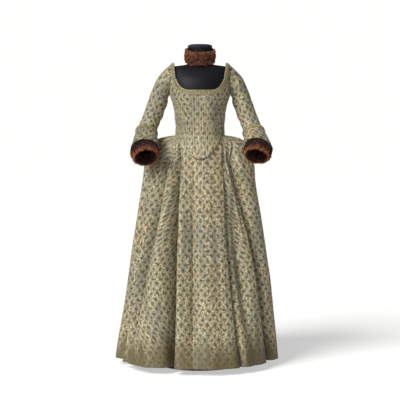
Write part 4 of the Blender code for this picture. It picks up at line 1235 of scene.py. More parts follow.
SLEEVE = (
    ArmSection(0.1655, 0.000, 1.2480, 59.7, 0.0, 0.0486, 0.0500),
    ArmSection(0.1770, 0.000, 1.2220, 36.7, 0.0, 0.0418, 0.0470),
    ArmSection(0.1880, -0.004, 1.1850, 17.6, 5.0, 0.0430, 0.0460),
    ArmSection(0.1975, -0.009, 1.1580, 17.2, 9.0, 0.0428, 0.0455),
    ArmSection(0.2065, -0.015, 1.1320, 17.0, 14.0, 0.0425, 0.0450),
    ArmSection(0.2245, -0.032, 1.0865, 14.0, 26.0, 0.0418, 0.0430),
    ArmSection(0.2375, -0.058, 1.0500, 12.0, 36.0, 0.0415, 0.0420),
    ArmSection(0.2425, -0.085, 1.0200, 6.0, 40.0, 0.0400, 0.0400),
)
CUFF_TOP = ArmSection(0.2365, -0.055, 1.0550, 12.0, 34.0, 0.0447, 0.0451)
FUR_CUFFS = {
    Side.LEFT: ArmSection(0.2414, -0.150, 0.961, -11.0, 45.0, 0.050, 0.050),
    Side.RIGHT: ArmSection(0.2538, -0.145, 0.9680, -15.0, 40.0, 0.050, 0.050),
}


class Wrinkle(NamedTuple):
    """A soft wrinkle round a sleeve: where along it, how it slants, how deep and wide, and its facing."""

    share: float
    slant: float
    deep: float
    half_width: float
    facing: float


WRINKLES = (
    Wrinkle(0.20, 0.05, 0.0010, 0.042, 3.0),
    Wrinkle(0.45, -0.05, 0.0014, 0.048, 3.3),
    Wrinkle(0.62, 0.06, 0.0019, 0.036, 2.8),
    Wrinkle(0.71, -0.04, 0.0012, 0.030, 3.5),
    Wrinkle(0.40, 0.05, 0.0011, 0.036, 0.6),
)


# Form and gown


@dataclass
class Figure:
    """The dress form's sections and the fitted bodice's sizes over them."""

    ease: float = 0.0034
    waist_extra: float = 0.0015
    waist_reach: float = 0.040
    curves: dict[str, Curve] = field(default_factory=lambda: table_curves(FIGURE))

    def sizes(self, height: Array) -> tuple[Array, Array, Array, Array]:
        """Return the bodice's half width, front, back and squareness.

        Args:
            height: Height above the floor.

        Returns:
            The four sizes.
        """
        waist_share = 1.0 - smooth_step(WAIST_HEIGHT, WAIST_HEIGHT + self.waist_reach, height)
        ease = self.ease + self.waist_extra * waist_share
        half_width, front, back = [self.curves[name](height) + ease
                                   for name in ("half_width", "front", "back")]
        return half_width, front, back, self.curves["squareness"](height)

    def front_surface(self, out: Array, height: Array) -> Array:
        """Return the bodice's outer points in front."""
        half_width, front, _, squareness = self.sizes(height)
        return joined(out, -section_depth(out, half_width, front, squareness), height)

    def back_surface(self, out: Array, height: Array) -> Array:
        """Return the bodice's outer points behind."""
        half_width, _, back, squareness = self.sizes(height)
        return joined(out, section_depth(out, half_width, back, squareness), height)

    def side_out(self, depth: Array, height: Array) -> Array:
        """Return how far out the bodice's side lies."""
        half_width, front, back, squareness = self.sizes(height)
        return section_depth(depth, np.where(np.asarray(depth) < 0, front, back), half_width, squareness)


@dataclass
class DressForm:
    """The limbless black form that the gown rests on: body, neck cap, pole and foot plate."""

    shrink: float = 0.0008
    neck_height: float = 1.424
    cap_height: float = 1.440
    columns: int = 96
    rows: int = 150
    jersey: FormJersey = FormJersey("form_jersey", "0a0b0f", "131217", 0.55)
    cap_cloth: FormJersey = FormJersey("cap_jersey", "22222c", "34344a", 0.75)
    steel: PaintedSteel = PaintedSteel()

    def build(self) -> None:
        """Build and dress the whole form."""
        curves = table_curves(FIGURE)
        turns = np.linspace(0.0, math.tau, self.columns, endpoint=False)
        heights = np.linspace(FIGURE[0].height, self.neck_height, self.rows)
        heights = np.sort(np.concatenate([heights, np.linspace(1.322, 1.365, 40)]))[:, None]
        sizes = [curves[name](heights) - self.shrink for name in ("half_width", "front", "back")]
        radius = section_radius(turns[None, :], *sizes, curves["squareness"](heights))
        body = polar_point(turns[None, :], radius, 0.0, heights)
        place(self.closed_solid("form_body", body, self.jersey.build()), Slot.FORM_CLOTH, ["form_torso"])
        neck = FIGURE[-1].half_width
        start = self.neck_height + SEAM_GAP
        turn = np.linspace(0.0, math.pi / 2.0, 14)[:, None]
        size = neck * (0.10 + 0.90 * np.cos(turn) ** 0.5)
        rise = start + (self.cap_height - start) * (0.42 + 0.58 * np.sin(turn))
        rings = polar_point(turns[None, :], size, 0.0, rise)
        foot = polar_point(turns[None, :], np.full((1, 1), neck), 0.0, np.full((1, 1), start))
        cap = np.concatenate([foot, rings])
        place(self.closed_solid("form_neck_cap", cap, self.cap_cloth.build()), Slot.FORM_CLOTH, ["form_cap"])
        steel = self.steel.build()
        for node in ("form_pole", "form_base"):
            for number in range(len(bpy.data.objects[node].material_slots)):
                bpy.data.objects[node].material_slots[number].material = steel

    def closed_solid(self, name: str, rings: Array, material: bpy.types.Material) -> bpy.types.Object:
        """Build a solid through rings, with flat ends.

        Args:
            name: The object's name.
            rings: Rings of points from bottom to top.
            material: Its material.

        Returns:
            The object.
        """
        maker = MeshMaker()
        around = np.linspace(0.0, 0.7, rings.shape[1] + 1)
        coordinates = joined(around[None, :], rings[:, :1, 2])
        first = maker.add_points(rings)
        maker.add_grid(first, rings.shape[:2], coordinates, True, False)
        numbers = first + np.arange(rings.shape[0] * rings.shape[1]).reshape(rings.shape[:2])
        for end, line in ((0, numbers[0][::-1]), (-1, numbers[-1])):
            maker.add_faces(line[None, :], coordinates[end, :-1][None])
        return maker.build(name, [material])


@dataclass
class Skirt:
    """The skirt: a front breadth, two side breadths and the pleated back that falls from the neck."""

    figure: Figure
    brocade: bpy.types.Material
    reverse: bpy.types.Material
    wall: float = 0.0015
    cone_spread: float = 1.0
    cone_end: float = 60.0
    hip_full: float = 84.0
    fade_angle: float = 9.0
    gather_top: float = 1.027
    gather_full: float = 0.995
    gather_depth: float = 1.7
    column_width: float = 0.0042
    bunching: float = 0.75
    row_height: float = 0.0085
    sack_clearance: float = 0.0060
    sack_lap: float = 0.0110
    sack_lap_start: float = 1.006
    pleat_tightness: float = 2.2
    sack_rounding: float = 2.4
    front_shift: float = 0.7
    sack_shift: float = 9.3
    gathered_rows: tuple = (0.960, 0.965, 28)
    sack_rows: tuple = ((HEM_HEIGHT, 0.960, 105), (0.968, 1.080, 20), (1.090, 1.295, 26))
    hem_radius: float = 0.36
    fewest_columns: int = 5
    knot_room: float = 0.02
    crease_fade_above: float = 0.045
    crease_fade_below: float = 0.055
    crease_fade_low: float = 0.18
    gather_fade_above: float = 0.08
    gather_fade_below: float = 0.06
    pleat_sharp_from: float = 0.62
    pleat_sharp_at: float = 1.20
    back_fold_width: float = 0.085
    curves: dict[str, Curve] = field(default_factory=lambda: table_curves(SKIRT))
    sack_curves: dict[str, Curve] = field(default_factory=lambda: table_curves(SACK))
    waist_to_hip: Curve = field(default_factory=lambda: Curve(
        (-122.0, -104.0, -86.0, -72.0, -60.0, -50.0, 52.0, 60.0, 72.0, 80.0, 94.0, 117.0),
        (-120.0, -102.0, -81.0, -54.0, -45.5, -36.5, 41.5, 49.0, 59.5, 74.0, 93.0, 116.0)))

    def base_radius(self, angle: Array, height: Array) -> Array:
        """Return the skirt's radius before its folds.

        Args:
            angle: Angle from the front.
            height: Height above the floor.

        Returns:
            The radius.
        """
        left = np.sin(angle) < 0
        full = np.where(left, self.curves["left"](height), self.curves["right"](height))
        spread_out = self.cone_spread * (WAIST_HEIGHT - height)
        waist = [self.curves[side](WAIST_HEIGHT) for side in ("left", "right")]
        cone = np.where(left, *waist) + spread_out
        from_front = np.degrees(np.arccos(np.cos(angle)))
        hip_share = smooth_step(self.cone_end, self.hip_full, from_front)
        half_width = blend(np.minimum(full, cone), full, hip_share)
        front, back, squareness = [self.curves[name](height) for name in ("front", "back", "squareness")]
        return section_radius(angle, half_width, front, back, squareness)

    def back_depth(self, out: Array, height: Array) -> Array:
        """Return how far back the skirt's base form reaches.

        Args:
            out: Distance from the middle.
            height: Height above the floor.

        Returns:
            The depth.
        """
        half_width = np.where(out < 0, self.curves["left"](height), self.curves["right"](height))
        depth = section_depth(out, half_width, self.curves["back"](height), self.curves["squareness"](height))
        return self.curves["middle"](height) + depth

    def sack_edge_angle(self, side: Array, height: Array) -> Array:
        """Return the angle from the front of the pleated back's edge, without its sign.

        Args:
            side: -1 or 1.
            height: Height above the floor.

        Returns:
            The angle.
        """
        out = self.sack_curves["half_width"](height)
        depth = self.back_depth(side * out, height) - self.curves["middle"](height)
        return math.pi - np.arctan2(out, depth)

    def fold_angle(self, line: FoldLine, height: Array) -> Array:
        """Return the angle of a fold's line at each height, in radians."""
        return np.radians(Curve(FOLD_HEIGHTS, (line.hem, line.knee, line.hip, line.waist))(height))

    def folds(self, angle: Array, height: Array, radius: Array) -> Array:
        """Return how far the main folds move the cloth out.

        Args:
            angle: Angle from the front.
            height: Height above the floor.
            radius: The base radius there.

        Returns:
            The move, negative in a valley.
        """
        move = np.zeros(np.broadcast(angle, height).shape)
        for fold in FOLDS:
            away = (angle - self.fold_angle(fold.line, height)) * radius
            depth = Curve(FOLD_HEIGHTS, (fold.move_hem, fold.move_knee, fold.move_hip, 0.0))(height)
            move = move + depth * np.exp(-((away / fold.half_width) ** 2))
        return move

    def creases(self, angle: Array, height: Array, radius: Array) -> Array:
        """Return how far creases and gathers draw the cloth in.

        Args:
            angle: Angle from the front.
            height: Height above the floor.
            radius: The base radius there.

        Returns:
            The move, negative in a crease.
        """
        move = np.zeros(np.broadcast(angle, height).shape)
        for crease in CREASES:
            away = (angle - self.fold_angle(crease.line, height)) * radius / crease.half_width
            away = away / (1.0 - crease.lean * np.sign(away))
            depths = (crease.deep_hem, crease.deep_knee, crease.deep_hip, crease.deep_hip)
            depth = Curve(FOLD_HEIGHTS, depths)(height)
            fade_start, fade_end = crease.top + self.crease_fade_above, crease.top - self.crease_fade_below
            window = smooth_step(fade_start, fade_end, height)
            window = window * smooth_step(crease.bottom, crease.bottom + self.crease_fade_low, height)
            move = move - depth * window * np.exp(-np.sqrt(away ** 2 + 0.09) + 0.3)
        for gather in GATHERS:
            hip = float(self.waist_to_hip(gather.waist))
            centre = np.radians(Curve((0.80, 0.90, 1.02), (hip, hip, gather.waist))(height))
            away = (angle - centre) * radius / gather.half_width
            window = smooth_step(self.gather_top, self.gather_full, height)
            low = gather.bottom - self.gather_fade_below
            window = window * smooth_step(low, gather.bottom + self.gather_fade_above, height)
            trough = np.exp(-(away ** 2)) - 0.45 * np.exp(-((np.abs(away) - 2.0) ** 2))
            move = move - self.gather_depth * gather.deep * window * trough
        return move

    def point(self, angle: Array, height: Array) -> Array:
        """Return points of the skirt's outer side, with its folds, creases and gathers.

        Args:
            angle: Angle from the front.
            height: Height above the floor.

        Returns:
            The points.
        """
        radius = self.base_radius(angle, height)
        room = self.sack_edge_angle(np.where(angle < 0, -1.0, 1.0), height) - np.abs(angle)
        fade = smooth_step(0.0, math.radians(self.fade_angle), room)
        move = (self.folds(angle, height, radius) + self.creases(angle, height, radius)) * fade
        return polar_point(angle, radius + move, self.curves["middle"](height), height)

    def sack_point(self, share: Array, height: Array) -> Array:
        """Return points of the pleated back, with sharp pleat edges near the neck.

        Args:
            share: -1 at its left edge to 1 at its right.
            height: Height above the floor.

        Returns:
            The points.
        """
        out = share * self.sack_curves["half_width"](height)
        lap = self.sack_lap * smooth_step(self.sack_lap_start, WAIST_HEIGHT, height)
        low, low_middle = [self.back_depth(where, height) + lap for where in (out, np.zeros_like(out))]
        high, high_middle = [self.figure.back_surface(where, height)[..., 1] + self.sack_clearance
                             for where in (out, np.zeros_like(out))]
        below = height <= WAIST_HEIGHT
        under, under_middle = np.where(below, low, high), np.where(below, low_middle, high_middle)
        stand_off = np.maximum(self.sack_curves["fall"](height) - under_middle, 0.0)
        fall = under + stand_off * (1.0 - np.abs(share) ** self.sack_rounding)
        wave = np.tanh(-self.pleat_tightness * np.cos(math.tau * share))
        pleat = self.sack_curves["pleat"](height) * (wave + math.tanh(self.pleat_tightness)) / 2.0
        sharp = smooth_step(self.pleat_sharp_from, self.pleat_sharp_at, height)
        for edge in PLEAT_EDGES:
            dent = np.exp(-np.abs(share - edge.share) / edge.half_width)
            pleat = pleat - edge.deep * (0.25 + 0.75 * sharp) * dent
        for fold in BACK_FOLDS:
            soft = smooth_step(fold.top, 0.15, height)
            pleat = pleat - fold.deep * soft * np.exp(-(((share - fold.share) / self.back_fold_width) ** 2))
        hold = smooth_step(0.0, 0.10, 1.0 - np.abs(share))
        return joined(out, fall + pleat * blend(1.0, hold, sharp), height)

    def breadth(self, name: str, first: Callable[[Array], Array], last: Callable[[Array], Array]) -> None:
        """Build one breadth, in columns that follow its folds.

        Args:
            name: The node's name.
            first: One edge's angle over height.
            last: The other edge's angle over height.
        """
        heights = np.linspace(HEM_HEIGHT, WAIST_HEIGHT, int((WAIST_HEIGHT - HEM_HEIGHT) / self.row_height))
        plain_end, gathered_start, gathered_count = self.gathered_rows
        gathered = np.linspace(gathered_start, WAIST_HEIGHT, gathered_count)
        heights = np.concatenate([heights[heights < plain_end], gathered])
        low, high = sorted((float(first(HEM_HEIGHT)), float(last(HEM_HEIGHT))))
        low, high = low + self.knot_room, high - self.knot_room
        inner = [fold.line for fold in FOLDS if low < float(self.fold_angle(fold.line, HEM_HEIGHT)) < high]
        knots = [first(heights), last(heights)] + [self.fold_angle(line, heights) for line in inner]
        knots = np.sort(np.array(knots), 0)
        columns = []
        for start, end in zip(knots[:-1], knots[1:]):
            wanted = self.hem_radius * float(end[0] - start[0]) / self.column_width
            count = max(self.fewest_columns, int(round(wanted)))
            steps = np.arange(count) / count
            steps = blend(steps, (1.0 - np.cos(math.pi * steps)) / 2.0, self.bunching)
            columns.extend(blend(start, end, step) for step in steps)
        angles = np.array(columns + [knots[-1]]).T
        level = np.broadcast_to(heights[:, None], angles.shape)
        grid = self.point(angles, level)
        add_cloth(name, [self.brocade, self.reverse], grid, surface_normals(self.point, angles, level),
                  self.wall, flat_coordinates(grid, self.front_shift * len(name)))

    def fold_edge(self, line: FoldLine, gap_side: float) -> Callable[[Array], Array]:
        """Return a front seam's angle over height, half a gap to one side of its valley.

        Args:
            line: The line of the valley that hides the seam.
            gap_side: -1 or 1.

        Returns:
            The angle over height.
        """
        def angle(height: Array) -> Array:
            """Return the angle at a height."""
            gap = gap_side * SEAM_GAP / (2.0 * self.base_radius(0.0, height))
            return self.fold_angle(line, height) + gap
        return angle

    def sack_edge(self, side: float) -> Callable[[Array], Array]:
        """Return the angle over height of the seam to the pleated back.

        Args:
            side: -1 or 1.

        Returns:
            The angle over height.
        """
        def angle(height: Array) -> Array:
            """Return the angle at a height."""
            return side * (self.sack_edge_angle(side, height) - SEAM_GAP / self.base_radius(math.pi, height))
        return angle

    def build_sack(self) -> None:
        """Build the pleated back, from the back of the neck to the hem."""
        heights = np.concatenate([np.linspace(*run) for run in self.sack_rows])
        share, level = np.meshgrid(spread((-1.0, -0.5, 0.0, 0.5, 1.0), (32, 32, 32, 32)), heights)
        grid = self.sack_point(share, level)
        normals = grid_normals(grid, False, grid * np.array((0.0, 0.0, 1.0)))
        add_cloth("sack_back", [self.brocade, self.reverse], grid, normals, self.wall,
                  flat_coordinates(grid, self.sack_shift))

    def build(self) -> None:
        """Build the skirt's four breadths."""
        self.breadth("skirt_front", self.fold_edge(LEFT_SEAM, 1.0), self.fold_edge(RIGHT_SEAM, -1.0))
        self.breadth("skirt_left", self.fold_edge(LEFT_SEAM, -1.0), self.sack_edge(-1.0))
        self.breadth("skirt_right", self.fold_edge(RIGHT_SEAM, 1.0), self.sack_edge(1.0))
        self.build_sack()


class Channel(NamedTuple):
    """A stitched channel down the bodice's front that holds a stay."""

    top_out: float
    point_out: float
    half_width: float
    raised: float


CHANNELS = (
    Channel(0.0052, 0.0045, 0.0036, 0.0011),
    Channel(0.0150, 0.0125, 0.0036, 0.0010),
    Channel(0.0265, 0.0215, 0.0038, 0.0010),
    Channel(0.0400, 0.0320, 0.0038, 0.0008),
)


@dataclass
class Bodice:
    """The fitted bodice: fronts, sides, back and straps, with its channels and its stitching."""

    figure: Figure
    skirt: Skirt
    brocade: bpy.types.Material
    lining: bpy.types.Material
    thread: bpy.types.Material
    wall: float = 0.0020
    point_lap: float = 0.0030
    point_lap_growth: float = 0.24
    point_lap_most: float = 0.0075
    point_end: float = 62.0
    point_height: float = 0.932
    point_half_width: float = 0.0950
    point_power: float = 2.1
    neck_front: float = 1.234
    neck_back: float = 1.318
    strap_seam: float = 1.2855
    corner_out: float = 0.1076
    corner_room: float = 0.0015
    neck_front_power: float = 5.5
    neck_back_power: float = 4.0
    strap_top_out: float = 0.1155
    strap_top: float = 1.3535
    strap_crown: float = 0.0030
    strap_crown_out: float = 0.3
    armhole_height: float = 1.274
    armhole_half_height: float = 0.0625
    armhole_half_depth: float = 0.050
    armhole_room: float = 0.002
    side_seam: float = 100.0
    stitch_pitch: float = 0.0046
    stitch_length: float = 0.0036
    stitch_thickness: float = 0.0011
    stitch_lift: float = 0.0006
    stitch_room: float = 0.0012
    figure_shift: float = 0.31
    seam: Curve = field(default_factory=lambda: table_curves(FRONT_SEAM)["angle"])

    def point(self, angle: Array, height: Array) -> Array:
        """Return points of the bodice's outer side; in front it runs on below the waist, over the skirt.

        Args:
            angle: Angle from the front.
            height: Height above the floor.

        Returns:
            The points.
        """
        angle, height = np.broadcast_arrays(angle, height)
        lap = self.point_lap + self.point_lap_growth * (WAIST_HEIGHT - height)
        lap = np.minimum(lap, self.point_lap_most)
        low = self.skirt.base_radius(angle, np.minimum(height, WAIST_HEIGHT)) + lap
        high = section_radius(angle, *self.figure.sizes(np.maximum(height, WAIST_HEIGHT)))
        laps = (height < WAIST_HEIGHT) & (np.cos(angle) > math.cos(math.radians(self.point_end)))
        middle = np.where(laps, self.skirt.curves["middle"](height), 0.0)
        return polar_point(angle, np.where(laps, low, high), middle, height)

    def neck_front_edge(self, out: Array) -> Array:
        """Return the front neck edge's height at a distance from the middle."""
        share = np.minimum(np.abs(out) / (self.corner_out - self.corner_room), 1.0)
        return blend(self.neck_front, self.strap_seam, share ** self.neck_front_power)

    def neck_back_edge(self, out: Array) -> Array:
        """Return the back neck edge's height at a distance from the middle."""
        share = np.minimum(np.abs(out) / (self.corner_out - 4.0 * self.corner_room), 1.0)
        return blend(self.neck_back, self.strap_seam, share ** self.neck_back_power)

    def top_edge(self, point: Array) -> Array:
        """Return the height of the bodice's upper edge above or below points.

        Args:
            point: Points of the bodice.

        Returns:
            The edge's heights.
        """
        out, depth = point[..., 0], point[..., 1]
        share = np.minimum(np.abs(depth) / self.armhole_half_depth, 1.0)
        armhole = self.armhole_height - self.armhole_half_height * np.sqrt(1.0 - share ** 2) - 2.0 * SEAM_GAP
        neck = np.where(depth < 0, self.neck_front_edge(out), self.neck_back_edge(out))
        beside = np.abs(depth) < self.armhole_half_depth + self.armhole_room
        in_armhole = beside & (np.abs(out) > self.corner_out)
        return np.where(in_armhole, armhole, neck)

    def bottom_edge(self, point: Array) -> Array:
        """Return the height of the bodice's lower edge, a point in front and level behind.

        Args:
            point: Points of the bodice.

        Returns:
            The edge's heights.
        """
        out, depth = point[..., 0], point[..., 1]
        level = WAIST_HEIGHT + 2.0 * SEAM_GAP
        rise = (level - self.point_height) * (np.abs(out) / self.point_half_width) ** self.point_power
        return np.where(depth > 0, level, np.minimum(self.point_height + rise, level))

    def relief(self, point: Array) -> Array:
        """Return how far the stay channels and the soft strains of the cloth stand out.

        Args:
            point: Points of the bodice.

        Returns:
            The heights of the relief.
        """
        out, depth, height = point[..., 0], point[..., 1], point[..., 2]
        raised = np.zeros(out.shape)
        down = smooth_step(1.215, 0.95, height)
        for channel in CHANNELS:
            middle = blend(channel.top_out, channel.point_out, down)
            away = (np.abs(out) - middle) / channel.half_width
            raised = raised + channel.raised * np.exp(-(away ** 4))
        raised = raised * smooth_step(1.222, 1.208, height) * (depth < 0)
        strain = np.sin(height * 95.0 + np.abs(out) * 22.0) * smooth_step(1.16, 1.09, height)
        side = smooth_step(0.055, 0.095, np.abs(out)) * smooth_step(1.030, 1.060, height)
        return raised + 0.0007 * strain * side

    def find_edge(self, edge: Callable[[Array], Array], angle_at: Place, shares: Array,
                  start: float) -> Array:
        """Return the height where each column meets an edge.

        Args:
            edge: The edge's height at a point.
            angle_at: A column's angle at a share and a height.
            shares: The columns' shares.
            start: Where to start looking.

        Returns:
            The heights.
        """
        height = np.full(shares.shape, start)
        for _ in range(24):
            height = blend(height, edge(self.point(angle_at(shares, height), height)), 0.6)
        return height

    def panel(self, name: str, first: Callable[[Array], Array], last: Callable[[Array], Array],
              shares: Array, rows: int) -> None:
        """Build one panel between two seams.

        Args:
            name: The node's name.
            first: One seam's angle over height.
            last: The other seam's angle over height.
            shares: Where the columns lie between them.
            rows: How many rows it has.
        """
        def angle_at(share: Array, height: Array) -> Array:
            """Return a column's angle at a height."""
            return blend(first(height), last(height), share)

        low = self.find_edge(self.bottom_edge, angle_at, shares, WAIST_HEIGHT)
        high = self.find_edge(self.top_edge, angle_at, shares, self.neck_front)
        level = blend(low[None, :], high[None, :], np.linspace(0.0, 1.0, rows + 1)[:, None])
        angles = angle_at(shares[None, :], level)
        base = self.point(angles, level)
        normals = surface_normals(self.point, angles, level)
        grid = base + normals * self.relief(base)[..., None]
        across = arc_lengths(grid, 1)
        across = across - across[:, :1] + np.degrees(angles[:, :1]) * 0.002
        coordinates = np.stack([across + self.figure_shift * len(name), level + 1.0], axis=-1)
        add_cloth(name, [self.brocade, self.lining], grid, normals, self.wall, coordinates)

    def half_gap(self, offset: float, height: Array) -> Array:
        """Return half a seam's gap as an angle, to one side of the seam."""
        return offset * SEAM_GAP / (2.0 * self.figure.sizes(np.maximum(height, WAIST_HEIGHT))[1])

    def seam_angle(self, side: float, offset: float) -> Callable[[Array], Array]:
        """Return the slanting front seam's angle over height.

        Args:
            side: -1 or 1.
            offset: Which side of the seam to keep to, -1 or 1.

        Returns:
            The angle over height.
        """
        def angle(height: Array) -> Array:
            """Return the angle at a height."""
            return side * (np.radians(self.seam(height)) + self.half_gap(offset, height))
        return angle

    def level_angle(self, side: float, degrees: float, offset: float) -> Callable[[Array], Array]:
        """Return an upright seam's angle over height.

        Args:
            side: -1 or 1.
            degrees: The seam's angle.
            offset: Which side of the seam to keep to, -1 or 1.

        Returns:
            The angle over height.
        """
        def angle(height: Array) -> Array:
            """Return the angle at a height."""
            return side * (math.radians(degrees) + self.half_gap(offset, height))
        return angle

    def strap_point(self, side: float, along: Array, across: Array) -> Array:
        """Return points of a shoulder strap.

        Args:
            side: -1 or 1.
            along: 0 in front to 1 behind.
            across: 0 at the neck to 1 at the arm.

        Returns:
            The points.
        """
        turn = math.pi * along
        lift, facing = np.sin(turn), -np.cos(turn)
        inner_out = blend(self.corner_out, self.strap_top_out, lift)
        corner = (np.array(self.corner_out), np.array(self.strap_seam))
        front, back = self.figure.front_surface(*corner)[..., 1], self.figure.back_surface(*corner)[..., 1]
        inner_depth = np.where(facing < 0, np.abs(front), np.abs(back)) * facing
        inner_height = blend(self.strap_seam, self.strap_top, lift)
        outer_height = blend(self.strap_seam, self.armhole_height + self.armhole_half_height, lift)
        share = np.clip((outer_height - self.armhole_height) / self.armhole_half_height, -1.0, 1.0)
        outer_depth = np.sign(facing) * self.armhole_half_depth * np.sqrt(1.0 - share ** 2)
        outer_out = self.figure.side_out(outer_depth, outer_height)
        crown = self.strap_crown * 4.0 * across * (1.0 - across)
        out = blend(inner_out, outer_out, across) + self.strap_crown_out * crown
        depth = blend(inner_depth, outer_depth, across) + facing * crown
        height = blend(inner_height, outer_height, across) + lift * crown + SEAM_GAP
        return joined(side * out, depth, height)

    def strap_grid(self, side: float, end: float, rows: int, columns: int) -> tuple[Array, Array]:
        """Return a strap's points and normals from front to back.

        Args:
            side: -1 or 1.
            end: How far across it goes from the neck side.
            rows: How many rows.
            columns: How many columns.

        Returns:
            The points and the normals.
        """
        across, along = np.meshgrid(np.linspace(0.0, end, columns), np.linspace(0.0, 1.0, rows))
        grid = self.strap_point(side, along, across)
        return grid, grid_normals(grid, False, np.array((side * 0.125, 0.0, self.armhole_height)))

    def build_straps(self) -> None:
        """Build the two shoulder straps."""
        for side in Side:
            grid, normals = self.strap_grid(side.value, 1.0, 49, 17)
            coordinates = np.stack([arc_lengths(grid, 1) + 4.1, arc_lengths(grid, 0) + 2.6], axis=-1)
            add_cloth(f"strap_{side.word}", [self.brocade, self.lining], grid, normals, self.wall,
                      coordinates)

    def stitches(self, name: str, lines: Sequence[tuple[Callable[[Array], Array], float, float]]) -> None:
        """Build the running stitches along lines down the front, as one piece of many small threads.

        Args:
            name: The piece's name.
            lines: For each, the distance out over height, its top and its bottom.
        """
        thickness, length = self.stitch_thickness, self.stitch_length
        octahedron = np.array([(0, 1, 2), (0, 2, 3), (0, 3, 4), (0, 4, 1),
                               (5, 2, 1), (5, 3, 2), (5, 4, 3), (5, 1, 4)])
        maker = MeshMaker()
        for out_at, top, bottom in lines:
            heights = np.arange(bottom, top, self.stitch_pitch)
            angle = np.zeros(heights.shape)
            for _ in range(12):
                centre = np.stack([np.zeros_like(heights), self.middle(angle, heights)], -1)
                radius = np.linalg.norm(self.point(angle, heights)[..., :2] - centre, axis=-1)
                angle = np.arcsin(np.clip(out_at(heights) / radius, -1.0, 1.0))
            base = self.point(angle, heights)
            normal = surface_normals(self.point, angle, heights)
            centre = base + normal * (self.relief(base)[..., None] + self.stitch_lift)
            along = unit(np.gradient(centre, axis=0))
            beside = np.cross(along, normal)
            steps = (-along * length / 2, beside * thickness, normal * thickness * 0.7,
                     -beside * thickness, -normal * thickness * 0.7, along * length / 2)
            first = maker.add_points(np.stack([centre + step for step in steps], axis=1))
            faces = (first + np.arange(len(heights))[:, None, None] * 6 + octahedron[None]).reshape(-1, 3)
            maker.add_faces(faces, np.zeros((len(faces), 3, 2)))
        place(maker.build(name, [self.thread]), Slot.GOLD_BRAID, [])

    def middle(self, angle: Array, height: Array) -> Array:
        """Return the depth that the bodice's angles turn about."""
        laps = (height < WAIST_HEIGHT) & (np.cos(angle) > math.cos(math.radians(self.point_end)))
        return np.where(laps, self.skirt.curves["middle"](height), 0.0)

    def build(self) -> None:
        """Build the bodice's panels, straps and stitching."""
        front_shares = spread((0.0, 0.686, 0.876, 0.905, 1.0), (64, 16, 5, 8))
        for side in Side:
            self.panel(f"bodice_front_{side.word}", self.level_angle(side.value, 0.0, 1.0),
                       self.seam_angle(side.value, -1.0), front_shares, 90)
            self.panel(f"bodice_side_{side.word}", self.seam_angle(side.value, 1.0),
                       self.level_angle(side.value, self.side_seam, -1.0), np.linspace(0.0, 1.0, 41), 60)
        near = (0.0, 0.068, 0.159)
        back_shares = spread(near + tuple(1.0 - share for share in reversed(near)), (5, 7, 56, 7, 5))
        self.panel("bodice_back", self.level_angle(1.0, self.side_seam, 1.0),
                   self.level_angle(1.0, 360.0 - self.side_seam, -1.0), back_shares, 60)
        self.build_straps()
        self.build_stitching()

    def build_stitching(self) -> None:
        """Build the stitching at the middle seam, beside each channel and beside the slanting seams."""
        lines = []
        for sign in (-1.0, 1.0):
            beside_middle = sign * self.stitch_room
            lines.append((self.out_line(beside_middle, beside_middle), 1.212, 0.938))
            for channel in CHANNELS:
                for edge in (-1.0, 1.0):
                    shift = edge * (channel.half_width + self.stitch_room)
                    top_out, low_out = channel.top_out + shift, channel.point_out + shift
                    spread_share = abs(low_out) / self.point_half_width
                    low = self.point_height + 0.006 + 0.10 * spread_share ** self.point_power
                    lines.append((self.out_line(sign * top_out, sign * low_out), 1.208, low))
            for shift in (-0.0040, 0.0022):
                lines.append((self.seam_line(sign, shift), 1.150, 0.955))
        self.stitches("bodice_stitching", lines)

    def out_line(self, top_out: float, low_out: float) -> Callable[[Array], Array]:
        """Return a line down the front that keeps its distance from the middle seam.

        Args:
            top_out: Its distance at the neck.
            low_out: Its distance at the point.

        Returns:
            The distance over height.
        """
        def out(height: Array) -> Array:
            """Return the distance at a height."""
            return blend(top_out, low_out, smooth_step(1.215, 0.95, height))
        return out

    def seam_line(self, sign: float, shift: float) -> Callable[[Array], Array]:
        """Return a line that runs beside a slanting front seam.

        Args:
            sign: -1 or 1.
            shift: Its distance from the seam.

        Returns:
            The distance out over height.
        """
        def out(height: Array) -> Array:
            """Return the distance at a height."""
            return self.point(sign * np.radians(self.seam(height)), height)[..., 0] + sign * shift
        return out


@dataclass
class Band:
    """A strip of braid on a surface, with cords along its edges and a plaited cord between them."""

    grid: Array
    normals: Array
    lift: float = 0.0026
    wall: float = 0.0018
    closed: bool = False

    def at(self, along: Array, across: Array, rise: float) -> Array:
        """Return points on the band.

        Args:
            along: Distance along it.
            across: 0 at one edge to 1 at the other.
            rise: Height above its outer side.

        Returns:
            The points.
        """
        rows, columns = self.grid.shape[:2]
        middle = arc_lengths(self.grid[rows // 2][None], 1)[0]
        column = np.interp(along, middle, np.arange(columns))
        row = np.asarray(across) * (rows - 1)
        left, low = [np.clip(value.astype(int), 0, most)
                     for value, most in ((column, columns - 2), (row, rows - 2))]
        values = []
        for source in (self.grid, self.normals):
            below = blend(source[low, left], source[low, left + 1], (column - left)[:, None])
            above = blend(source[low + 1, left], source[low + 1, left + 1], (column - left)[:, None])
            values.append(blend(below, above, (row - low)[:, None]))
        return values[0] + values[1] * (self.lift + rise)

    @property
    def length(self) -> float:
        """Return the length along the band's middle."""
        return float(arc_lengths(self.grid[self.grid.shape[0] // 2][None], 1)[0, -1])


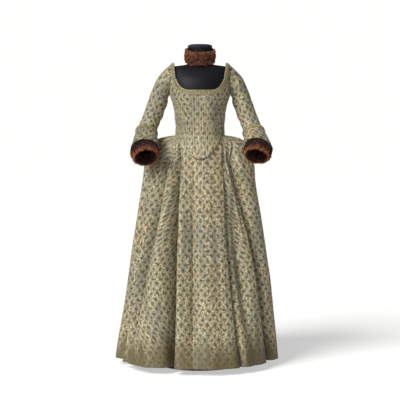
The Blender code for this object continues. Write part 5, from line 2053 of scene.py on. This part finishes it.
@dataclass
class Braids:
    """The gold braid round the neck opening and on the cuffs' top edges."""

    bodice: Bodice
    gold: bpy.types.Material
    width: float = 0.020
    edge_room: float = 0.003
    cord: float = 0.0011
    plait_cord: float = 0.00095
    plait_pitch: float = 0.0105
    plait_swing: float = 0.27
    cord_sides: int = 6

    def neck_band(self, front: bool) -> Band:
        """Return the band along the front or the back neck edge.

        Args:
            front: Whether it is the front one.

        Returns:
            The band.
        """
        figure, bodice = self.bodice.figure, self.bodice
        reach = bodice.corner_out - (self.edge_room if front else 2.0 * self.edge_room)
        edge = bodice.neck_front_edge if front else bodice.neck_back_edge
        surface = figure.front_surface if front else figure.back_surface
        out, down = np.meshgrid(np.sin(np.linspace(-1.5, 1.5, 120)) / math.sin(1.5) * reach,
                                np.linspace(0.0, self.width, 5))
        step = 0.0005 * np.where(out < 0, 1.0, -1.0)
        slope = (edge(out + step) - edge(out)) / step
        size = np.hypot(slope, 1.0)
        grid = surface(out + down * slope / size, edge(out) - down / size)
        return Band(grid, grid_normals(grid, False, np.array((0.0, 0.0, 1.25))))

    def shoulder_band(self, side: Side) -> Band:
        """Return the band along a strap's neck side."""
        grid, normals = self.bodice.strap_grid(side.value, 0.5, 60, 5)
        return Band(grid.transpose(1, 0, 2), normals.transpose(1, 0, 2))

    def build_band(self, node: str, band: Band, rests_on: Sequence[str]) -> None:
        """Build one length of braid.

        Args:
            node: The node that it stands for.
            band: Its surface.
            rests_on: What it lies on; not used.
        """
        outer = band.grid + band.normals * band.lift
        across = arc_lengths(outer, 0)
        coordinates = np.stack([across, arc_lengths(outer, 1)], axis=-1)
        maker = MeshMaker()
        if band.closed:
            maker.add_wall(outer[:, :-1], band.normals[:, :-1], band.wall, coordinates, True)
        else:
            maker.add_wall(outer, band.normals, band.wall, coordinates)
        piece = maker.build(f"{node}_band", [self.gold])
        place(piece, Slot.GOLD_BRAID, [node])
        cords = MeshMaker()
        count = max(4, round(band.length / self.plait_pitch))
        for across_share in (0.07, 0.93):
            self.add_cord(cords, band, np.full(count * 8 + 1, across_share), self.cord, 0.0002)
        steps = np.linspace(0.0, count, count * 10 + 1) * math.tau
        for phase, rise in ((0.0, 0.0004), (math.pi, 0.0009)):
            self.add_cord(cords, band, 0.5 + self.plait_swing * np.sin(steps + phase), self.plait_cord, rise)
        trimming = place(cords.build(f"{node}_cords", [self.gold]), Slot.GOLD_BRAID, [])
        LOG.info("%s band: %.3f m long, %.0f mm wide", node, band.length, self.width * 1000.0)

    def add_cord(self, maker: MeshMaker, band: Band, across: Array, radius: float, rise: float) -> None:
        """Add one cord along a band.

        Args:
            maker: Where to add it.
            band: The band.
            across: Where it lies across the band, at even steps along it.
            radius: Its radius.
            rise: Height of its middle above the band.
        """
        path = band.at(np.linspace(0.0, band.length, len(across)), across, rise)
        if band.closed:
            maker.add_tube(path[:-1], np.full(len(path) - 1, radius), self.cord_sides, closed=True)
        else:
            maker.add_tube(path, np.full(len(path), radius), self.cord_sides)

    def build_neck(self) -> None:
        """Build the four lengths round the neck opening."""
        fronts = ["bodice_front_left_cloth", "bodice_front_right_cloth"]
        self.build_band("neckline_braid_front", self.neck_band(True), fronts)
        self.build_band("neckline_braid_back", self.neck_band(False), ["bodice_back_cloth"])
        for side in Side:
            self.build_band(f"neckline_braid_{side.word}", self.shoulder_band(side),
                            [f"strap_{side.word}_cloth"])


@dataclass
class Arm:
    """One sleeve with its flared cuff, its cuff braid and its fur."""

    side: Side
    bodice: Bodice
    braids: Braids
    brocade: bpy.types.Material
    lining: bpy.types.Material
    wall: float = 0.0016
    armhole_clearance: float = 0.0015
    cuff_flare: float = 0.0182
    cuff_seat: float = 0.0215
    braid_share: float = 0.16
    columns: int = 72
    sleeve_rows: int = 110
    cuff_rows: int = 40

    def axes(self, section: ArmSection) -> tuple[Array, Array, Array]:
        """Return a section's own directions.

        Args:
            section: The section.

        Returns:
            Its outward, backward and downward directions.
        """
        lean, pitch = math.radians(section.lean), math.radians(section.pitch)
        outward = np.array((math.cos(lean), 0.0, math.sin(lean)))
        backward = np.array((0.0, math.cos(pitch), -math.sin(pitch)))
        backward = unit(backward - outward * np.dot(outward, backward))
        downward = np.cross(outward, backward)
        return outward, backward, downward if downward[2] < 0 else -downward

    def ring(self, section: ArmSection, turn: Array, growth: Array = 0.0, shift: Array = 0.0) -> Array:
        """Return points round a section.

        Args:
            section: The section.
            turn: Angles round it, outward at 0.
            growth: How far to stand outside it.
            shift: How far to move along the arm.

        Returns:
            The points.
        """
        outward, backward, downward = self.axes(section)
        turn, growth, shift = [value[..., None] for value in np.broadcast_arrays(turn, growth, shift)]
        centre = np.array((section.out, section.depth, section.height))
        point = centre + outward * (section.half_width + growth) * np.cos(turn)
        point = point + backward * (section.half_depth + growth) * np.sin(turn) + downward * shift
        return point * np.array((self.side.value, 1.0, 1.0))

    def armhole_ring(self, turn: Array) -> Array:
        """Return points round the armhole, on the bodice's side.

        Args:
            turn: Angles round it, up at 0.

        Returns:
            The points.
        """
        bodice = self.bodice
        depth = bodice.armhole_half_depth * np.sin(turn)
        height = bodice.armhole_height + bodice.armhole_half_height * np.cos(turn)
        out = bodice.figure.side_out(depth, height) + self.armhole_clearance
        return np.stack([self.side.value * out, depth, height], axis=-1)

    def turns(self) -> Array:
        """Return the angles of the columns."""
        return np.linspace(0.0, math.tau, self.columns, endpoint=False)

    def through(self, rings: Array, rows: int) -> Array:
        """Return rings along a smooth line through given rings.

        Args:
            rings: The rings.
            rows: How many to return.

        Returns:
            The rings in between, with the first and the last.
        """
        steps = np.linalg.norm(np.diff(rings, axis=0), axis=2).mean(axis=1)
        places = np.concatenate([[0.0], np.cumsum(steps)])
        tangents = np.gradient(rings, places, axis=0)
        wanted = np.linspace(0.0, places[-1], rows)
        index = np.clip(np.searchsorted(places, wanted, side="right") - 1, 0, len(places) - 2)
        step = (places[index + 1] - places[index])[:, None, None]
        ends, slopes = [(source[index], source[index + 1]) for source in (rings, tangents)]
        return cubic((wanted - places[index])[:, None, None] / step, step, ends, slopes)

    def wrinkle_move(self, share: Array, turn: Array) -> Array:
        """Return how far the wrinkles move a sleeve's cloth.

        Args:
            share: 0 at the armhole to 1 at the wrist.
            turn: The angle round the sleeve.

        Returns:
            The move, negative in a wrinkle.
        """
        move = np.zeros(np.broadcast(share, turn).shape)
        for wrinkle in WRINKLES:
            lean = wrinkle.slant * np.sin(turn - wrinkle.facing)
            away = (share - wrinkle.share - lean) / wrinkle.half_width
            facing = np.exp(-((1.0 - np.cos(turn - wrinkle.facing)) / 0.9) ** 2)
            trough = np.exp(-(away ** 2)) - 0.5 * np.exp(-((np.abs(away) - 1.9) ** 2))
            move = move - wrinkle.deep * facing * trough
        return move * smooth_step(0.0, 0.10, share) * smooth_step(0.80, 0.74, share)

    def tube(self, node: str, grid: Array, normals: Array, offset: float) -> None:
        """Build a closed tube of cloth.

        Args:
            node: The node that it stands for.
            grid: Its outer rings.
            normals: Its outward normals.
            offset: Where in the cloth's figure it is cut.
        """
        ringed = closed_up(grid)
        across = arc_lengths(ringed, 1)
        across = across / across[:, -1:] * across[:, -1].mean()
        along = arc_lengths(ringed, 0).mean(axis=1)[:, None]
        # the inner side takes the lining, which on the sleeves and cuffs is painted near black, partly as
        # painted shade
        add_cloth(node, [self.brocade, self.lining], grid, normals, self.wall,
                  joined(across + offset, along[::-1] + 1.0 + offset), closed=True)

    def build_sleeve(self) -> None:
        """Build the sleeve."""
        turns = self.turns()
        rings = np.stack([self.armhole_ring(turns)] + [self.ring(section, turns) for section in SLEEVE])
        grid = self.through(rings, self.sleeve_rows)
        middles = grid.mean(axis=1, keepdims=True)
        normals = grid_normals(grid, True, middles)
        shares = np.linspace(0.0, 1.0, self.sleeve_rows)[:, None]
        grid = grid + normals * self.wrinkle_move(shares, turns[None, :])[..., None]
        word = self.side.word
        self.tube(f"sleeve_{word}", grid, normals, 3.3 + 0.4 * self.side.value)

    def cuff_section(self, share: float) -> ArmSection:
        """Return the cuff's section between its top and its bottom.

        Args:
            share: 0 at the top to 1 at the bottom.

        Returns:
            The section.
        """
        fur = FUR_CUFFS[self.side]
        downward = self.axes(fur)[2]
        centre = np.array((fur.out, fur.depth, fur.height)) - downward * self.cuff_seat
        radius = CUFF_TOP.half_width + self.cuff_flare
        bottom = ArmSection(*centre, fur.lean, fur.pitch, radius, radius)
        return ArmSection(*[blend(first, last, share) for first, last in zip(CUFF_TOP, bottom)])

    def cuff_grid(self, first: float, last: float, rows: int) -> tuple[Array, Array]:
        """Return the cuff's rings and normals.

        Args:
            first: The share where they start.
            last: The share where they end.
            rows: How many.

        Returns:
            The rings and the normals.
        """
        turns = self.turns()
        shares = np.linspace(first, last, rows)
        grid = np.stack([self.ring(self.cuff_section(share), turns) for share in shares])
        return grid, grid_normals(grid, True, grid.mean(axis=1, keepdims=True))

    def build_cuff(self) -> None:
        """Build the flared cuff and the braid on its top edge."""
        word = self.side.word
        grid, normals = self.cuff_grid(0.0, 1.0, self.cuff_rows)
        shares = np.linspace(0.0, 1.0, self.cuff_rows)[:, None]
        flutes = 0.0012 * np.sin(3.0 * self.turns() + self.side.value) * smooth_step(0.25, 0.9, shares)
        self.tube(f"cuff_{word}", grid + normals * flutes[..., None], normals,
                  5.7 + 0.3 * self.side.value)
        grid, normals = [closed_up(values) for values in self.cuff_grid(0.0, self.braid_share, 5)]
        self.braids.build_band(f"cuff_braid_{word}", Band(grid, normals, closed=True), [f"cuff_{word}_cloth"])

    def fur_point(self, around: Array, turn: Array, thickness: float, length: float) -> Array:
        """Return points of the fur cuff."""
        return self.ring(FUR_CUFFS[self.side], around, thickness * np.cos(turn), length * np.sin(turn))


@dataclass
class FurBand:
    """A band of fur: a body of underwool with clumped, curved hairs all over it."""

    name: str
    node: str
    material: bpy.types.Material
    surface: Callable[[Array, Array, float, float], Array]
    thickness: float
    length: float
    radius: float
    hairs: int
    seed: int
    inset: float = 0.0060
    end_inset: float = 0.0070
    comb: float = 0.0035
    spread: float = 0.0030
    hair_radius: float = 0.00060
    clump_share: float = 0.55
    clump_every: int = 14
    # the hairs are painted lighter round each band's section where the light falls, a painted highlight, and
    # darker on the other sides, painted shade
    tone_base: float = 0.10
    tone_swing: float = 0.75
    light_at: float = 1.15
    light_width: float = 0.62
    least_reach: float = 0.65
    most_reach: float = 1.08
    clump_keep: float = 0.25
    bend: float = 0.16
    bend_spread: float = 0.0006
    tone_spread: float = 0.16

    def tone(self, turn: Array) -> Array:
        """Return the fur's tone round the section, 0 dark to 1 light: painted lighter where the light falls,
        a painted highlight, and darker elsewhere, painted shade.
        """
        away = np.arccos(np.cos(turn - self.light_at)) / self.light_width
        return self.tone_base + self.tone_swing * np.exp(-(away ** 2))

    def build(self) -> None:
        """Build the body and the hairs as one piece."""
        maker = MeshMaker()
        inner_thickness, inner_length = self.thickness - self.inset, self.length - self.end_inset
        turns_around, turns = [np.linspace(0.0, math.tau, count) for count in (97, 41)]
        around, turn = np.meshgrid(turns_around[:-1], turns[:-1], indexing="ij")
        body = self.surface(around, turn, inner_thickness, inner_length)
        body = np.concatenate([body, body[:1]])
        # the body takes the same painted highlight round its section
        coordinates = joined(self.tone(turns)[None, :], np.full((97, 1), 0.22))
        ring_middle = body[0].mean(axis=0)
        normal = np.cross(body[0, 1] - body[0, 0], body[1, 0] - body[0, 0])
        flip = bool(np.dot(normal, body[0, 0] - ring_middle) < 0)
        maker.add_grid(maker.add_points(body), body.shape[:2], coordinates, True, flip)
        self.add_hairs(maker, inner_thickness, inner_length)
        place(maker.build(self.name, [self.material]), Slot.FUR, [self.node])

    def add_hairs(self, maker: MeshMaker, inner_thickness: float, inner_length: float) -> None:
        """Add the hairs.

        Args:
            maker: Where to add them.
            inner_thickness: Half the body's thickness.
            inner_length: Half the body's length.
        """
        random = np.random.default_rng(self.seed)
        around = random.uniform(0.0, math.tau, self.hairs)
        angles = np.linspace(0.0, math.tau, 400)
        run = np.cumsum(np.hypot(inner_thickness * np.sin(angles), inner_length * np.cos(angles)))
        turn = np.interp(random.uniform(0.0, run[-1], self.hairs), run, angles)
        heads = np.arange(0, self.hairs, self.clump_every)
        flat = np.stack([np.cos(around), np.sin(around), np.cos(turn) * inner_length / self.radius,
                         np.sin(turn) * inner_length / self.radius], axis=1)
        nearest = np.concatenate([
            heads[np.argmin(((part[:, None] - flat[heads][None]) ** 2).sum(axis=2), axis=1)]
            for part in np.array_split(flat, 24)])
        root = self.surface(around, turn, inner_thickness, inner_length)
        edge = self.surface(around, turn, self.thickness, self.length)
        along = unit(self.surface(around, turn + 0.05, self.thickness, self.length) - edge)
        toward = np.where(np.cos(turn) > 0, 1.0, -1.0)[:, None]
        reach = random.uniform(self.least_reach, self.most_reach, self.hairs)[:, None]
        tip = root + (edge - root) * reach + along * toward * self.comb
        tip = tip + random.normal(0.0, self.spread, (self.hairs, 3))
        tip = blend(tip, tip[nearest] + (root - root[nearest]) * self.clump_keep, self.clump_share)
        bend = (edge - root) * self.bend + random.normal(0.0, self.bend_spread, (self.hairs, 3))
        middle = blend(root, tip, 0.5) + bend
        axis = unit(tip - root)
        beside = unit(np.cross(axis, random.normal(0.0, 1.0, (self.hairs, 3))))
        other = np.cross(axis, beside)
        sides = [beside * math.cos(angle) + other * math.sin(angle) for angle in (0.0, 2.094, 4.189)]
        size = self.hair_radius * random.uniform(0.7, 1.3, self.hairs)[:, None]
        points = [root + side * size for side in sides] + [middle + side * size * 0.75 for side in sides]
        first = maker.add_points(np.stack(points + [tip], axis=1))
        pattern = np.array([(0, 1, 4), (0, 4, 3), (1, 2, 5), (1, 5, 4), (2, 0, 3), (2, 3, 5),
                            (3, 4, 6), (4, 5, 6), (5, 3, 6)])
        faces = first + np.arange(self.hairs)[:, None, None] * 7 + pattern[None]
        # each hair's painted highlight, with some random tone
        tones = np.clip(self.tone(turn) + random.normal(0.0, self.tone_spread, self.hairs), 0.0, 1.0)
        heights = np.array((0.1, 0.1, 0.1, 0.6, 0.6, 0.6, 1.0))
        u = np.broadcast_to(tones[:, None, None], (self.hairs, 9, 3))
        v = np.broadcast_to(heights[pattern][None], (self.hairs, 9, 3))
        maker.add_faces(faces.reshape(-1, 3), np.stack([u, v], axis=-1))


@dataclass
class FurCollar:
    """The fur band round the neck, tipped down in front."""

    height: float = 1.389
    tilt: float = 14.0
    half_width: float = 0.0630
    half_depth: float = 0.0675
    half_thickness: float = 0.0075
    half_height: float = 0.0330

    def point(self, around: Array, turn: Array, thickness: float, length: float) -> Array:
        """Return points of the collar.

        Args:
            around: The angle round the neck, front at 0.
            turn: The angle round the band's section, outward at 0 and up at a quarter turn.
            thickness: Half the band's thickness.
            length: Half its height.

        Returns:
            The points.
        """
        growth, shift = thickness * np.cos(turn), length * np.sin(turn)
        tilt = math.radians(self.tilt)
        out = (self.half_width + growth) * np.sin(around)
        forward = (self.half_depth + growth) * np.cos(around)
        depth = -forward * math.cos(tilt) - shift * math.sin(tilt)
        rise = self.height - forward * math.sin(tilt) + shift * math.cos(tilt)
        return np.stack([out, depth, rise], axis=-1)


@dataclass
class Studio:
    """The floor, the light and the camera."""

    distance: float = 5.85
    camera_height: float = 1.13
    pitch: float = 3.8
    lens: float = 117.0
    floor_size: float = 30.0
    surround: float = 0.17
    seen_surround: float = 1.06

    def add_light(self, name: str, kind: str, place_at: tuple, size: float, power: float) -> None:
        """Add a soft light that faces the gown.

        Args:
            name: Its name.
            kind: "SUN" or "AREA".
            place_at: Where it is.
            size: The angle of a sun in degrees, or the side of an area in metres.
            power: Its strength.
        """
        light = bpy.data.lights.new(name, kind)
        light.energy = power
        if kind == "SUN":
            light.angle = math.radians(size)
        else:
            light.size = size
        lamp = bpy.data.objects.new(name, light)
        lamp.location = place_at
        lamp.rotation_euler = (Vector((0.0, 0.0, 0.8)) - Vector(place_at)).to_track_quat("-Z", "Y").to_euler()
        bpy.context.scene.collection.objects.link(lamp)

    def build(self) -> None:
        """Build the studio."""
        maker = MeshMaker()
        half = self.floor_size / 2.0
        corners = np.array([[(-half, -half, 0.0), (half, -half, 0.0)],
                            [(-half, half, 0.0), (half, half, 0.0)]])
        maker.add_grid(maker.add_points(corners), (2, 2), corners[..., :2], False, False)
        floor = maker.build("studio_floor", [StudioPaper().build()], smooth=False)
        self.add_light("key_light", "SUN", (-3.6, -3.8, 5.2), 30.0, 4.4)
        self.add_light("front_light", "AREA", (-0.6, -5.2, 1.9), 1.4, 18.0)
        world = bpy.data.worlds.new("studio_world")
        world.use_nodes = True
        background = world.node_tree.nodes["Background"]
        background.inputs["Color"].default_value = linear_colour("fafaf8")
        # the lens sees a paper-white surround, and the gown is lit by a softer one
        seen = add_node(world.node_tree, "LightPath").outputs["Is Camera Ray"]
        strength = add_node(world.node_tree, "MapRange", {},
                            {"Value": seen, "To Min": self.surround, "To Max": self.seen_surround}).outputs[0]
        world.node_tree.links.new(strength, background.inputs["Strength"])
        bpy.context.scene.world = world
        bpy.context.scene.view_settings.view_transform = "Standard"
        camera = bpy.data.objects.new("camera", bpy.data.cameras.new("camera"))
        camera.data.lens = self.lens
        camera.data.sensor_width = 36.0
        camera.location = (0.0, -self.distance, self.camera_height)
        camera.rotation_euler = (math.radians(90.0 - self.pitch), 0.0, 0.0)
        bpy.context.scene.collection.objects.link(camera)
        bpy.context.scene.camera = camera


def main() -> None:
    """Build the form, the gown and the studio."""
    logging.basicConfig(level=logging.INFO, format="%(message)s")
    brocade = Brocade().build()
    reverse = PlainCloth("brocade_reverse", "7d745c").build()
    # the sleeves' and cuffs' inner side: a cotton lining painted near black, partly as painted shade for the
    # hollow inside the sleeve
    lining = PlainCloth("dark_cotton_lining", "17181f").build()
    bodice_lining = PlainCloth("cotton_lining", "8f8874").build()
    thread = PlainCloth("silk_stitching", "d2c9a8", 1.0).build()
    gold = GoldBraid().build()
    fur = Fur().build()
    figure = Figure()
    DressForm().build()
    skirt = Skirt(figure, brocade, reverse)
    skirt.build()
    bodice = Bodice(figure, skirt, brocade, bodice_lining, thread)
    bodice.build()
    braids = Braids(bodice, gold)
    braids.build_neck()
    for side in Side:
        arm = Arm(side, bodice, braids, brocade, lining)
        arm.build_sleeve()
        arm.build_cuff()
        FurBand(f"fur_cuff_{side.word}_hair", f"fur_cuff_{side.word}", fur, arm.fur_point, 0.0145, 0.0340,
                0.050, 12000, 11 + int(side.value)).build()
    collar = FurCollar()
    # the collar's fur is painted lighter on its upper outer side, a painted highlight
    FurBand("fur_collar_hair", "fur_collar", fur, collar.point, collar.half_thickness, collar.half_height,
            collar.half_width, 14000, 5, inset=0.0045, end_inset=0.0060, comb=-0.0030, tone_base=0.42,
            tone_swing=0.22, light_at=1.2).build()
    Studio().build()


if __name__ == "__main__":
    main()
